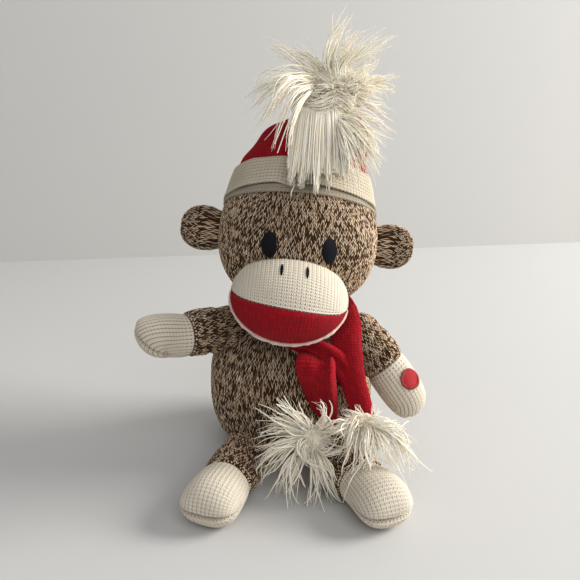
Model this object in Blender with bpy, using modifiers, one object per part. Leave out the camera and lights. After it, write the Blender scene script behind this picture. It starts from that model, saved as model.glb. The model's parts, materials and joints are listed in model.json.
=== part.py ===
"""Seated sock monkey doll: knit covers over stuffing, a tacked-on hat with a tassel, a knotted scarf.

Metres, +Z up. The doll faces -Y, and its own right side is -X.
The origin is the centre of the flat seat, on the surface that the doll sits on.
"""
from math import cos, pi, radians, sin, sqrt

import bmesh
import bpy
from mathutils import Matrix, Vector

# Fabric and clearances
COVER = 0.0016
GAP = 0.0003
SOCKET_GAP = 0.0006
SEAT_CUT = 0.0005
OVERRUN = 0.03
MERGE_DISTANCE = 0.00001

# Body: a turned bag, a little flatter front to back
BODY_RADIUS = 0.0535
BODY_HEIGHT = 0.0975
BODY_DEPTH_SHARE = 0.935
BODY_OUTLINE_SHARES = (
    (0.0, 0.0), (0.30, 0.003), (0.56, 0.022), (0.78, 0.075), (0.91, 0.16), (0.98, 0.29), (1.0, 0.45),
    (0.975, 0.60), (0.885, 0.74), (0.74, 0.85), (0.57, 0.91), (0.33, 0.945), (0.0, 0.96),
)

# Neck and head: the head turns and nods on a ball of stuffing that stands on the body
NECK_RISE = 0.0024
NECK_RADIUS = 0.0172
HEAD_LEAN = radians(6)
HEAD_RADIUS = 0.051
HEAD_DROP = 0.045
HEAD_SINK = 0.001
THROAT_CLEAR = 0.0095

# Muzzle: an egg on the face, sewn from three panels round one lump of stuffing
MUZZLE_SIDE = 0.0025
MUZZLE_SET_BACK = 0.006
MUZZLE_HALF_WIDTH = 0.0345
MUZZLE_HALF_DEPTH = 0.033
MUZZLE_HALF_HEIGHT = 0.0255
CHIN_SAG = 0.005
MOUTH_ABOVE_MIDDLE = 0.004
CHIN_SEAM_AHEAD = 0.013
PIPING_RADIUS = 0.0009

# Face: flat embroidery, a little proud of the knit; the eyes' lower ends dip beside the muzzle's top
EYE_APART = 0.0174
EYE_DIP = 0.0015
EYE_HALF_WIDTH = 0.0045
EYE_HALF_HEIGHT = 0.0074
EYE_PROUD = 0.0012
NOSTRIL_APART = 0.0072
NOSTRIL_AHEAD = 0.020
NOSTRIL_LENGTH = 0.0056
NOSTRIL_RADIUS = 0.0006

# Ears
EAR_STAND_OUT = 0.009
EAR_ABOVE = 0.0015
EAR_RADIUS = 0.0140
EAR_HALF_THICKNESS = 0.0075

# Hat: a folded cuff tilted back on the head, and a leaning cone
HAT_TILT_BACK = radians(25)
HAT_TILT_SIDE = radians(1)
CUFF_LOW = 0.022
CUFF_HEIGHT = 0.0215
CUFF_STAND_OUT = 0.0010
CUFF_TAPER = 0.0034
CUFF_THICKNESS = 0.0036
CROWN_INSET = 0.0011
CROWN_TIP_SHARES = (0.498, 0.0784, 1.642)
CROWN_WALL = 0.0018
CROWN_TIP_RADIUS = 0.0065
CROWN_BULGE_SHARES = ((1.0, 0.0), (0.86, 0.22), (0.67, 0.45), (0.44, 0.68), (0.24, 0.88))

# Tassel: yarn bound at the hat's tip, a skirt that hangs forward and a spray above
BINDING_RADIUS = 0.0075
SKIRT_END_SHARES = (-0.2255, -0.9118, -0.8784)
SKIRT_RADIUS = 0.0175
SKIRT_DEPTH_SHARE = 0.55
SKIRT_OUTLINE_SHARES = (
    (0.0, 0.0), (0.44, 0.02), (0.74, 0.20), (0.94, 0.50), (1.0, 0.78), (0.80, 0.95), (0.0, 1.0))
TOPKNOT_PLACE_SHARES = (0.06, -0.375, 1.024)
TOPKNOT_HALF = Vector((0.017, 0.016, 0.021))

# Arms: a sleeve and a hand on one tube of stuffing, with a round root in the shoulder
ARM_LENGTH = 0.0645
ARM_ROOT_RADIUS = 0.0130
SLEEVE_RADIUS = 0.0140
CUFF_RIGHT_AT = 0.0295
CUFF_LEFT_AT = 0.0250
WRIST_RADIUS = 0.0128
HAND_RADIUS = 0.0135
SHOULDER_RIGHT_SHARES = (-0.4871, -0.1789, 0.8872)
SHOULDER_RIGHT_OUT_SHARES = (-0.9457, -0.3249, 0.0)
ARM_RIGHT_ALONG = Vector((-0.831, -0.534, 0.090))
SHOULDER_LEFT_SHARES = (0.6017, -0.4095, 0.8872)
SHOULDER_LEFT_OUT_SHARES = (0.8437, -0.5369, 0.0)
ARM_LEFT_ALONG = Vector((0.62, -0.22, -0.75))
PATCH_RADIUS = 0.0060
PATCH_THICKNESS = 0.0008
PATCH_FROM_CUFF = 0.0180
PATCH_FACING = Vector((0.60, -0.55, 0.58))

# Legs: they lie on the table, a little flattened by it and cut flat there
LEG_LENGTH = 0.0680
LEG_ROOT_RADIUS = 0.0160
SHIN_RADIUS = 0.0158
ANKLE_AT = 0.0300
ANKLE_RADIUS = 0.0152
FOOT_RADIUS = 0.0163
LEG_HEIGHT_SHARE = 0.84
HIP_RIGHT_SHARES = (-0.5196, -0.9596)
HIP_LEFT_SHARES = (0.5981, -0.9596)
LEG_RIGHT_ALONG = Vector((-0.33, -0.944, 0.0))
LEG_LEFT_ALONG = Vector((0.36, -0.933, 0.0))

# How a limb's outline runs: its swell before the seam, and the hand's or foot's widest place after it
SWELL_SHARE = 0.55
WIDEST_SHARE = 0.5

# Scarf: a band round the neck, a lead down the chest, a knot and two tails with poms
BAND_RING_RADIUS = 0.0255
BAND_RADIUS = 0.0030
BAND_BELOW_NECK = 0.0037
KNOT_SHARES = (0.4486, -0.9596, 0.8103)
KNOT_HALF = Vector((0.0105, 0.0078, 0.0078))
LEAD_HALF_WIDTH = 0.0065
LEAD_HALF_THICKNESS = 0.0012
LEAD_TURN = radians(27)
LEAD_MIDDLE_SHARES = (0.3178, -0.6797, 0.9128)
LEAD_END_SHARES = (0.4019, -0.8796, 0.8564)
TAIL_HALF_THICKNESS = 0.0019
TAIL_RIGHT_FROM_KNOT_SHARE = -0.476
TAIL_RIGHT_BULGE_SHARES = (-0.052, 0.086, -0.006)
TAIL_RIGHT_END_SHARES = (0.843, 0.607, 0.129)
TAIL_RIGHT_HALF_WIDTHS = (0.0055, 0.0085, 0.0042)
TAIL_LEFT_FROM_KNOT_SHARE = 0.619
TAIL_LEFT_BULGE_SHARES = (0.075, 0.108, -0.081)
TAIL_LEFT_END_SHARES = (0.0, 0.929, 0.236)
TAIL_LEFT_HALF_WIDTHS = (0.0050, 0.0078, 0.0050)
POM_RADIUS = 0.0140
POM_RIGHT_SHARES = (0.2374, -1.3794)
POM_RIGHT_LIFT = -0.0047
POM_LEFT_SHARES = (0.8037, -1.5993)
POM_LEFT_LIFT = 0.0038

# Facets
BODY_STEPS = 24
LIMB_STEPS = 14
SOCKET_STEPS = 20
FORM_STEPS = 14
THREAD_STEPS = 10
FILLING_STEPS = 16
MUZZLE_STEPS = 20

COLOURS = {
    "brown_knit": (0.17, 0.11, 0.075),
    "cream_knit": (0.74, 0.67, 0.54),
    "red_knit": (0.34, 0.012, 0.018),
    "black_thread": (0.012, 0.012, 0.015),
    "cream_yarn": (0.80, 0.73, 0.60),
    "red_thread": (0.45, 0.015, 0.02),
    "stuffing": (0.88, 0.88, 0.86),
}

for old in list(bpy.data.objects):
    bpy.data.objects.remove(old, do_unlink=True)
PARTS = bpy.data.collections.new("sock_monkey")
CUTTERS = bpy.data.collections.new("cutters")
bpy.context.scene.collection.children.link(PARTS)
bpy.context.scene.collection.children.link(CUTTERS)


def make_material(name):
    made = bpy.data.materials.new(name)
    made.use_nodes = True
    shader = made.node_tree.nodes["Principled BSDF"]
    shader.inputs["Base Color"].default_value = (*COLOURS[name], 1.0)
    shader.inputs["Roughness"].default_value = 0.95
    shader.inputs["Metallic"].default_value = 0.0
    return made


MATERIALS = {name: make_material(name) for name in COLOURS}


def empty(name, location, rotation=None, parent=None):
    made = bpy.data.objects.new(name, None)
    PARTS.objects.link(made)
    made.parent = parent
    made.location = location
    made.rotation_mode = "QUATERNION"
    if rotation is not None:
        made.rotation_quaternion = rotation
    return made


def place(name, mesh, material, parent=None, location=(0, 0, 0), rotation=None):
    """An object of the doll, or a hidden cutter when it has no material."""
    made = bpy.data.objects.new(name, mesh)
    made.parent = parent
    made.location = location
    made.rotation_mode = "QUATERNION"
    if rotation is not None:
        made.rotation_quaternion = rotation
    if material:
        PARTS.objects.link(made)
        mesh.materials.clear()
        mesh.materials.append(MATERIALS[material])
        mesh.shade_smooth()
    else:
        CUTTERS.objects.link(made)
        made.hide_render = True
        made.display_type = "WIRE"
    return made


def cut(piece, *cutters):
    for cutter in cutters:
        made = piece.modifiers.new("cut_by_" + cutter.name, "BOOLEAN")
        made.operation = "DIFFERENCE"
        made.solver = "EXACT"
        made.object = cutter


def hollow(piece, wall):
    made = piece.modifiers.new("cover", "SOLIDIFY")
    made.thickness = wall
    made.offset = -1.0


def turned(outline, steps, depth_share=1.0):
    """A mesh turned round Z from (radius, height) points that run upwards."""
    profile = bpy.data.meshes.new("profile")
    points = [(radius, 0.0, height) for radius, height in reversed(outline)]
    profile.from_pydata(points, [(i, i + 1) for i in range(len(points) - 1)], [])
    lathe = bpy.data.objects.new("profile", profile)
    CUTTERS.objects.link(lathe)
    screw = lathe.modifiers.new("turn", "SCREW")
    screw.steps = steps
    screw.render_steps = steps
    screw.use_merge_vertices = True
    screw.merge_threshold = MERGE_DISTANCE
    bpy.context.view_layer.update()
    mesh = bpy.data.meshes.new_from_object(lathe.evaluated_get(bpy.context.evaluated_depsgraph_get()))
    bpy.data.objects.remove(lathe, do_unlink=True)
    bpy.data.meshes.remove(profile)
    mesh.transform(Matrix.Diagonal((1.0, depth_share, 1.0, 1.0)))
    return mesh


def grown(outline, growth):
    """The outline moved outwards by growth, or inwards when it is negative."""
    moved = []
    for i, (radius, height) in enumerate(outline):
        before = Vector(outline[max(i - 1, 0)])
        after = Vector(outline[min(i + 1, len(outline) - 1)])
        along = (after - before).normalized()
        outwards = Vector((along.y, -along.x))
        if radius == 0:
            outwards = Vector((0.0, -1.0 if i == 0 else 1.0))
        moved.append((max(radius + growth * outwards.x, 0.0), height + growth * outwards.y))
    return moved


def egg(half, steps=FORM_STEPS):
    """An ellipsoid with the given half sizes."""
    bm = bmesh.new()
    bmesh.ops.create_uvsphere(bm, u_segments=steps, v_segments=steps * 5 // 8, radius=1.0)
    bmesh.ops.scale(bm, vec=half, verts=bm.verts)
    mesh = bpy.data.meshes.new("egg")
    bm.to_mesh(mesh)
    bm.free()
    return mesh


def ball(radius, steps=FORM_STEPS):
    return egg(Vector((radius, radius, radius)), steps)


def block(low, high):
    bm = bmesh.new()
    bmesh.ops.create_cube(bm, size=1.0)
    bmesh.ops.scale(bm, vec=Vector(high) - Vector(low), verts=bm.verts)
    bmesh.ops.translate(bm, vec=(Vector(high) + Vector(low)) / 2, verts=bm.verts)
    mesh = bpy.data.meshes.new("block")
    bm.to_mesh(mesh)
    bm.free()
    return mesh


def strip(points, half_widths, half_thickness):
    """A soft flat band, lofted through points from wide sections unlike each other, ends rounded."""
    count = 9
    ring = 10
    curve = [between(points, i / (count - 1)) for i in range(count)]
    widths = [between(half_widths, i / (count - 1)) for i in range(count)]
    bm = bmesh.new()
    rings = []
    for i, centre in enumerate(curve):
        tangent = (curve[min(i + 1, count - 1)] - curve[max(i - 1, 0)]).normalized()
        across = Vector((1, 0, 0))
        across = (across - tangent * across.dot(tangent)).normalized()
        facing = tangent.cross(across)
        section = []
        for j in range(ring):
            turn = 2 * pi * j / ring
            section.append(bm.verts.new(
                centre + across * widths[i] * cos(turn) + facing * half_thickness * sin(turn)))
        rings.append(section)
    for low, high in zip(rings, rings[1:]):
        for j in range(ring):
            bm.faces.new((low[j], low[(j + 1) % ring], high[(j + 1) % ring], high[j]))
    bm.faces.new(rings[0])
    bm.faces.new(rings[-1])
    bmesh.ops.recalc_face_normals(bm, faces=bm.faces)
    mesh = bpy.data.meshes.new("strip")
    bm.to_mesh(mesh)
    bm.free()
    return mesh


def between(values, share):
    """A smooth value along three: the curve that passes the middle one at half way."""
    first, middle, last = values
    start = (1 - share) * (1 - 2 * share)
    half = 4 * share * (1 - share)
    end = share * (2 * share - 1)
    return first * start + middle * half + last * end


def yarn(name, points, radius, material, parent):
    """A round thread along points, with closed ends."""
    curve = bpy.data.curves.new(name, "CURVE")
    curve.dimensions = "3D"
    curve.bevel_depth = radius
    curve.bevel_resolution = 1
    curve.use_fill_caps = True
    spline = curve.splines.new("POLY")
    spline.points.add(len(points) - 1)
    for spot, point in zip(spline.points, points):
        spot.co = (*point, 1.0)
    made = bpy.data.objects.new(name, curve)
    made.parent = parent
    PARTS.objects.link(made)
    curve.materials.append(MATERIALS[material])
    return made


def scaled_outline(shares, radius, height, base):
    return [(share * radius, base + up * height) for share, up in shares]


def arc(radius, rise, start, end, count, centre=0.0):
    """Outline points on an ellipse from one angle to another, as (radius, height)."""
    points = []
    for i in range(count + 1):
        turn = start + (end - start) * i / count
        points.append((max(radius * cos(turn), 0.0) if abs(cos(turn)) > 1e-6 else 0.0, centre + rise * sin(turn)))
    return points


def limb_outline(root, swell, neck_at, neck, end, length):
    """A limb along +Z: a round root at zero, a swell, a slight waist at the cuff and a round end."""
    outline = arc(root, root, -pi / 2, 0.0, 4)
    outline.append((swell, neck_at * SWELL_SHARE))
    outline.append((neck, neck_at))
    widest = neck_at + (length - neck_at) * WIDEST_SHARE
    outline.append(((neck + 2 * end) / 3, (neck_at + widest) / 2))
    outline.extend(arc(end, length - widest, 0.0, pi / 2, 4, widest))
    return outline


def split(outline, at):
    """The outline's lower and upper parts, with a seam's gap between them at a height."""
    lower = [point for point in outline if point[1] < at - GAP]
    upper = [point for point in outline if point[1] > at + GAP]
    seam_radius = next(radius for radius, height in outline if abs(height - at) <= GAP)
    return lower + [(seam_radius, at - GAP / 2)], [(seam_radius, at + GAP / 2)] + upper


def limb(pivot, along, names, outline, seam_at, materials, cutters=(), height_share=1.0):
    """A knit tube and its cream end over one length of stuffing, all flattened by a share."""
    tube_name, end_name, filling_name = names
    lower, upper = split(outline, seam_at)
    turn = along.to_track_quat("Z", "Y")
    holder = empty(tube_name + "_pivot", pivot, turn)
    tube = place(tube_name, turned(lower, LIMB_STEPS, height_share), materials[0], holder)
    hollow(tube, COVER)
    end = place(end_name, turned(upper, LIMB_STEPS, height_share), materials[1], holder)
    hollow(end, COVER)
    filling_outline = grown(outline, -(COVER + GAP) / height_share)
    filling = place(filling_name, turned(filling_outline, LIMB_STEPS, height_share), "stuffing", holder)
    for piece in (tube, end, filling):
        cut(piece, *cutters)
    return holder


def socket(name, centre, radius, height_share=1.0):
    half = Vector((radius, radius, radius * height_share)) + Vector((SOCKET_GAP, SOCKET_GAP, SOCKET_GAP))
    return place(name, egg(half, SOCKET_STEPS), None, location=centre)


def on_body(shares):
    """A place given as shares of the body's half width, half depth and height."""
    return Vector((
        shares[0] * BODY_RADIUS, shares[1] * BODY_RADIUS * BODY_DEPTH_SHARE, shares[2] * BODY_HEIGHT))


def shares_of(size, shares):
    return size * Vector(shares)


# The body, with a socket for the neck and each limb
body_outline = scaled_outline(BODY_OUTLINE_SHARES, BODY_RADIUS, BODY_HEIGHT + SEAT_CUT, -SEAT_CUT)
floor_reach = BODY_RADIUS + LEG_LENGTH + OVERRUN
floor = place("floor", block((-floor_reach, -floor_reach, -OVERRUN), (floor_reach, floor_reach, 0)), None)
neck_centre = Vector((0, 0, body_outline[-1][1] + NECK_RISE))
arm_right_pivot = on_body(SHOULDER_RIGHT_SHARES) + shares_of(SLEEVE_RADIUS, SHOULDER_RIGHT_OUT_SHARES)
arm_left_pivot = on_body(SHOULDER_LEFT_SHARES) + shares_of(SLEEVE_RADIUS, SHOULDER_LEFT_OUT_SHARES)
hip_height = LEG_ROOT_RADIUS * LEG_HEIGHT_SHARE - SEAT_CUT
hip_right = on_body((*HIP_RIGHT_SHARES, 0.0)) + Vector((0, 0, hip_height))
hip_left = on_body((*HIP_LEFT_SHARES, 0.0)) + Vector((0, 0, hip_height))
sockets = [
    socket("neck_socket", neck_centre, NECK_RADIUS),
    socket("shoulder_right", arm_right_pivot, ARM_ROOT_RADIUS),
    socket("shoulder_left", arm_left_pivot, ARM_ROOT_RADIUS),
    socket("hip_right", hip_right, LEG_ROOT_RADIUS, LEG_HEIGHT_SHARE),
    socket("hip_left", hip_left, LEG_ROOT_RADIUS, LEG_HEIGHT_SHARE),
]
body_cover = place("body_cover", turned(body_outline, BODY_STEPS, BODY_DEPTH_SHARE), "brown_knit")
hollow(body_cover, COVER)
cut(body_cover, *sockets, floor)
body_filling = place(
    "body_stuffing",
    turned(grown(body_outline, -COVER - 3 * GAP), FILLING_STEPS, BODY_DEPTH_SHARE),
    "stuffing",
)
cut(body_filling, *sockets)
body_shape = place(
    "body_shape", turned(grown(body_outline, GAP), BODY_STEPS, BODY_DEPTH_SHARE), None)

# Neck stuffing: the ball that the head turns and nods on
neck = empty("neck_pivot", neck_centre)
neck_ball = place("neck_stuffing", ball(NECK_RADIUS, SOCKET_STEPS), "stuffing", neck)

# Head: everything on it is placed from its centre, in the head's own lean
lean = Matrix.Rotation(HEAD_LEAN, 3, "Y").to_quaternion()
head_pivot = empty("head_pivot", neck_centre, lean)
head = empty("head", (0, 0, HEAD_DROP - HEAD_SINK), parent=head_pivot)
head_outline = (
    arc(HEAD_RADIUS, HEAD_DROP, -pi / 2, 0.0, 6)[:-1] + arc(HEAD_RADIUS, HEAD_RADIUS, 0.0, pi / 2, 6)
)
head_cover = place("head_cover", turned(head_outline, BODY_STEPS), "brown_knit", head)
hollow(head_cover, COVER)
cut(head_cover, sockets[0])
head_filling = place(
    "head_stuffing", turned(grown(head_outline, -COVER - 3 * GAP), FILLING_STEPS), "stuffing", head)
cut(head_filling, sockets[0])
head_shape = place("head_shape", turned(grown(head_outline, GAP), BODY_STEPS), None, head)

# Muzzle panels, cut apart along the mouth line and the chin seam
muzzle_forward = HEAD_RADIUS - MUZZLE_SET_BACK
muzzle_below = HEAD_DROP + CHIN_SAG - MUZZLE_HALF_HEIGHT
mouth_below = muzzle_below - MOUTH_ABOVE_MIDDLE
chin_forward = muzzle_forward + CHIN_SEAM_AHEAD
throat_radius = BAND_RING_RADIUS + BAND_RADIUS + THROAT_CLEAR
muzzle_centre = Vector((-MUZZLE_SIDE, -muzzle_forward, -muzzle_below))
muzzle_half = Vector((MUZZLE_HALF_WIDTH, MUZZLE_HALF_DEPTH, MUZZLE_HALF_HEIGHT))
wall = Vector((COVER, COVER, COVER))
lining = wall + Vector((GAP, GAP, GAP))
muzzle_inside = place("muzzle_inside", egg(muzzle_half - wall, MUZZLE_STEPS), None, head, muzzle_centre)
throat = place("throat", ball(throat_radius, BODY_STEPS), None, head_pivot)
reach = MUZZLE_HALF_WIDTH + muzzle_forward + OVERRUN
below_mouth = place(
    "below_mouth", block((-reach, -reach, -reach), (reach, reach, -mouth_below + GAP / 2)), None, head)
above_mouth = place(
    "above_mouth", block((-reach, -reach, -mouth_below - GAP / 2), (reach, reach, reach)), None, head)
behind_chin = place(
    "behind_chin", block((-reach, -chin_forward - GAP / 2, -reach), (reach, reach, reach)), None, head)
ahead_chin = place(
    "ahead_chin", block((-reach, -reach, -reach), (reach, -chin_forward + GAP / 2, reach)), None, head)
panels = (
    ("muzzle_upper", "cream_knit", (below_mouth,)),
    ("mouth", "red_knit", (above_mouth, behind_chin)),
    ("muzzle_chin", "cream_knit", (above_mouth, ahead_chin)),
)
for panel_name, panel_material, panel_cutters in panels:
    panel = place(panel_name, egg(muzzle_half, MUZZLE_STEPS), panel_material, head, muzzle_centre)
    cut(panel, muzzle_inside, head_shape, throat, *panel_cutters)
muzzle_filling = place("muzzle_stuffing", egg(muzzle_half - lining, MUZZLE_STEPS), "stuffing", head,
                       muzzle_centre)
cut(muzzle_filling, head_shape, throat)

# Piping along the chin seam, from one corner of the mouth to the other
seam_share = sqrt(1 - ((chin_forward - muzzle_forward) / MUZZLE_HALF_DEPTH) ** 2)
piping_off = PIPING_RADIUS + GAP
piping_points = []
PIPING_COUNT = 22
for i in range(PIPING_COUNT + 1):
    turn = pi + pi * i / PIPING_COUNT
    piping_points.append((
        -MUZZLE_SIDE + (MUZZLE_HALF_WIDTH * seam_share + piping_off) * cos(turn),
        -chin_forward,
        -muzzle_below + (MUZZLE_HALF_HEIGHT * seam_share + piping_off) * sin(turn),
    ))
yarn("mouth_piping", piping_points, PIPING_RADIUS, "cream_yarn", head)

# Eyes and nostrils
eye_above = MUZZLE_HALF_HEIGHT - muzzle_below + EYE_HALF_HEIGHT - EYE_DIP
for side, name in ((-1, "eye_right"), (1, "eye_left")):
    depth = sqrt(HEAD_RADIUS ** 2 - EYE_APART ** 2 - eye_above ** 2)
    spot = Vector((side * EYE_APART, -depth, eye_above))
    eye_half = Vector((EYE_HALF_WIDTH, EYE_HALF_HEIGHT, EYE_PROUD + GAP))
    eye = place(name, egg(eye_half, THREAD_STEPS), "black_thread", head, spot, spot.to_track_quat("Z", "Y"))
    cut(eye, head_shape)
for side, name in ((-1, "nostril_right"), (1, "nostril_left")):
    x = side * NOSTRIL_APART
    clear = NOSTRIL_RADIUS + 2 * GAP
    stitch = []
    for along in (-0.5, -0.25, 0, 0.25, 0.5):
        y = -NOSTRIL_AHEAD - along * NOSTRIL_LENGTH
        rest = 1 - (y / MUZZLE_HALF_DEPTH) ** 2 - (x / MUZZLE_HALF_WIDTH) ** 2
        z = MUZZLE_HALF_HEIGHT * sqrt(rest)
        outwards = Vector((
            x / MUZZLE_HALF_WIDTH ** 2, y / MUZZLE_HALF_DEPTH ** 2, z / MUZZLE_HALF_HEIGHT ** 2)).normalized()
        stitch.append(muzzle_centre + Vector((x, y, z)) + outwards * clear)
    yarn(name, stitch, NOSTRIL_RADIUS, "black_thread", head)

# Ears, sewn flat against the sides of the head
for side, name in ((-1, "ear_right"), (1, "ear_left")):
    ear = place(name, egg(Vector((EAR_RADIUS, EAR_HALF_THICKNESS, EAR_RADIUS))), "brown_knit", head,
                (side * (HEAD_RADIUS + EAR_STAND_OUT), 0, EAR_ABOVE))
    cut(ear, head_shape)

# Hat cuff: a folded band that lies on the head
hat_turn = (Matrix.Rotation(-HAT_TILT_BACK, 3, "X") @ Matrix.Rotation(HAT_TILT_SIDE, 3, "Y")).to_quaternion()
hat = empty("hat", (0, 0, 0), hat_turn, head)
cuff_top = CUFF_LOW + CUFF_HEIGHT
cuff_radius = sqrt(HEAD_RADIUS ** 2 - CUFF_LOW ** 2) + CUFF_STAND_OUT
cuff_top_radius = cuff_radius - CUFF_TAPER
crown_radius = cuff_top_radius - CROWN_INSET
cuff_outline = [
    (cuff_radius - CUFF_THICKNESS, CUFF_LOW),
    (cuff_radius - GAP, CUFF_LOW),
    (cuff_radius, CUFF_LOW + CUFF_THICKNESS / 2),
    (cuff_top_radius, cuff_top - CUFF_THICKNESS / 2),
    (cuff_top_radius - CUFF_THICKNESS / 2, cuff_top),
    (cuff_top_radius - CUFF_THICKNESS, cuff_top),
    (cuff_radius - CUFF_THICKNESS, CUFF_LOW),
]
cuff = place("hat_cuff", turned(cuff_outline, BODY_STEPS), "cream_knit", hat)
cut(cuff, head_shape)
cuff_solid = [(0.0, CUFF_LOW)] + cuff_outline[1:5] + [(0.0, cuff_top)]
cuff_shape = place("cuff_shape", turned(grown(cuff_solid, GAP), BODY_STEPS), None, hat)

# Crown: a cone standing on the cuff, sheared so that its tip leans forward and to the left
crown_base = cuff_top + GAP
bpy.context.view_layer.update()
crown_tip = head.matrix_world.translation + shares_of(HEAD_RADIUS, CROWN_TIP_SHARES)
tip = hat.matrix_world.inverted() @ crown_tip
crown_height = tip.z - crown_base
lean_over = Matrix.Identity(4)
lean_over[0][2] = tip.x / crown_height
lean_over[1][2] = tip.y / crown_height


def crown_mesh(growth, drop=0.0):
    """The closed cone, grown all round, its base lowered by drop."""
    outline = [(0.0, -drop)]
    outline += [((crown_radius - CROWN_TIP_RADIUS) * wide + CROWN_TIP_RADIUS + growth, up * crown_height)
                for wide, up in CROWN_BULGE_SHARES]
    outline[1] = (outline[1][0], -drop)
    outline.append((CROWN_TIP_RADIUS / 2 + growth, crown_height + growth / 2))
    outline.append((0.0, crown_height + growth))
    mesh = turned(outline, BODY_STEPS)
    mesh.transform(lean_over)
    return mesh


tassel_spot = crown_tip + Vector((0, 0, BINDING_RADIUS + GAP))
binding_socket = socket("binding_socket", tassel_spot, BINDING_RADIUS)
crown = place("hat_crown", crown_mesh(0.0), "red_knit", hat, (0, 0, crown_base))
crown_inside = place("crown_inside", crown_mesh(-CROWN_WALL, OVERRUN), None, hat, (0, 0, crown_base))
cut(crown, crown_inside, binding_socket)
crown_shape = place("crown_shape", crown_mesh(3 * GAP, GAP), None, hat, (0, 0, crown_base))

# Tassel: it swings on its binding
tassel = empty("tassel_pivot", tassel_spot)
place("tassel_binding", ball(BINDING_RADIUS), "cream_yarn", tassel)
binding_shape = place("binding_shape", ball(BINDING_RADIUS + GAP), None, tassel)
topknot_spot = Vector(part * share for part, share in zip(TOPKNOT_HALF, TOPKNOT_PLACE_SHARES))
topknot = place("tassel_topknot", egg(TOPKNOT_HALF), "cream_yarn", tassel, topknot_spot)
topknot_shape = place(
    "topknot_shape", egg(TOPKNOT_HALF + Vector((GAP, GAP, GAP))), None, tassel, topknot_spot)
cut(topknot, binding_shape)
skirt_along = shares_of(HEAD_RADIUS, SKIRT_END_SHARES)
skirt_outline = scaled_outline(SKIRT_OUTLINE_SHARES, SKIRT_RADIUS, skirt_along.length, 0.0)
skirt = place("tassel_skirt", turned(skirt_outline, FORM_STEPS, SKIRT_DEPTH_SHARE), "cream_yarn", tassel,
              rotation=skirt_along.to_track_quat("Z", "Y"))
cut(skirt, binding_shape, topknot_shape, crown_shape, cuff_shape)

# Arms
arm_right_outline = limb_outline(
    ARM_ROOT_RADIUS, SLEEVE_RADIUS, CUFF_RIGHT_AT, WRIST_RADIUS, HAND_RADIUS, ARM_LENGTH)
arm_left_outline = limb_outline(ARM_ROOT_RADIUS, SLEEVE_RADIUS, CUFF_LEFT_AT, WRIST_RADIUS, HAND_RADIUS, ARM_LENGTH)
limb_materials = ("brown_knit", "cream_knit")
limb(arm_right_pivot, ARM_RIGHT_ALONG, ("sleeve_right", "hand_right", "arm_stuffing_right"),
     arm_right_outline, CUFF_RIGHT_AT, limb_materials)
arm_left = limb(arm_left_pivot, ARM_LEFT_ALONG, ("sleeve_left", "hand_left", "arm_stuffing_left"),
                arm_left_outline, CUFF_LEFT_AT, limb_materials)
hand_shape = place("hand_shape", turned(grown(arm_left_outline, GAP), LIMB_STEPS), None, arm_left)

# A round embroidered patch on the back of the left hand
across_patch = PATCH_FACING - ARM_LEFT_ALONG * PATCH_FACING.dot(ARM_LEFT_ALONG) / ARM_LEFT_ALONG.length_squared
patch_spot = arm_left_pivot + ARM_LEFT_ALONG.normalized() * (CUFF_LEFT_AT + PATCH_FROM_CUFF)
patch_spot = patch_spot + across_patch.normalized() * (HAND_RADIUS + GAP)
patch_outline = [
    (0.0, -HAND_RADIUS / 3), (PATCH_RADIUS, -HAND_RADIUS / 3), (PATCH_RADIUS, PATCH_THICKNESS / 2),
    (0.0, PATCH_THICKNESS)]
patch = place("paw_patch", turned(patch_outline, FORM_STEPS), "red_thread", None, patch_spot,
              across_patch.to_track_quat("Z", "Y"))
cut(patch, hand_shape)

# Legs: each rises a little along its length, so that the wider foot is cut as deep as the hip
foot_at = ANKLE_AT + (LEG_LENGTH - ANKLE_AT) * WIDEST_SHARE
leg_rise = Vector((0, 0, (FOOT_RADIUS - LEG_ROOT_RADIUS) * LEG_HEIGHT_SHARE / foot_at))
leg_outline = limb_outline(LEG_ROOT_RADIUS, SHIN_RADIUS, ANKLE_AT, ANKLE_RADIUS, FOOT_RADIUS, LEG_LENGTH)
for side, pivot, along in (("right", hip_right, LEG_RIGHT_ALONG), ("left", hip_left, LEG_LEFT_ALONG)):
    limb(pivot, along.normalized() + leg_rise, ("leg_" + side, "foot_" + side, "leg_stuffing_" + side),
         leg_outline, ANKLE_AT, limb_materials, (floor,), LEG_HEIGHT_SHARE)

# Scarf: neck band
band_centre = neck_centre - Vector((0, 0, BAND_BELOW_NECK))


def ring(radius):
    bpy.ops.mesh.primitive_torus_add(
        major_radius=BAND_RING_RADIUS, minor_radius=radius, major_segments=BODY_STEPS, minor_segments=8)
    torus = bpy.context.object
    mesh = torus.data
    bpy.data.objects.remove(torus, do_unlink=True)
    return mesh


band = place("scarf_neck_band", ring(BAND_RADIUS), "red_knit", None, band_centre)
cut(band, body_shape)
band_shape = place("band_shape", ring(BAND_RADIUS + GAP), None, None, band_centre)

# Scarf: knot on the chest and the lead that comes down to it from the band
knot_centre = on_body(KNOT_SHARES)
knot_shape = place("knot_shape", egg(KNOT_HALF + Vector((GAP, GAP, GAP))), None, None, knot_centre)
knot = place("scarf_knot", egg(KNOT_HALF), "red_knit", None, knot_centre)
cut(knot, body_shape)
lead_start = band_centre + BAND_RING_RADIUS * Vector((sin(LEAD_TURN), -cos(LEAD_TURN), 0))
lead_points = (lead_start, on_body(LEAD_MIDDLE_SHARES), on_body(LEAD_END_SHARES))
lead = place("scarf_lead", strip(
    lead_points, (LEAD_HALF_WIDTH, LEAD_HALF_WIDTH, LEAD_HALF_WIDTH),
    LEAD_HALF_THICKNESS), "red_knit")
cut(lead, body_shape, band_shape, knot_shape)

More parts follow.
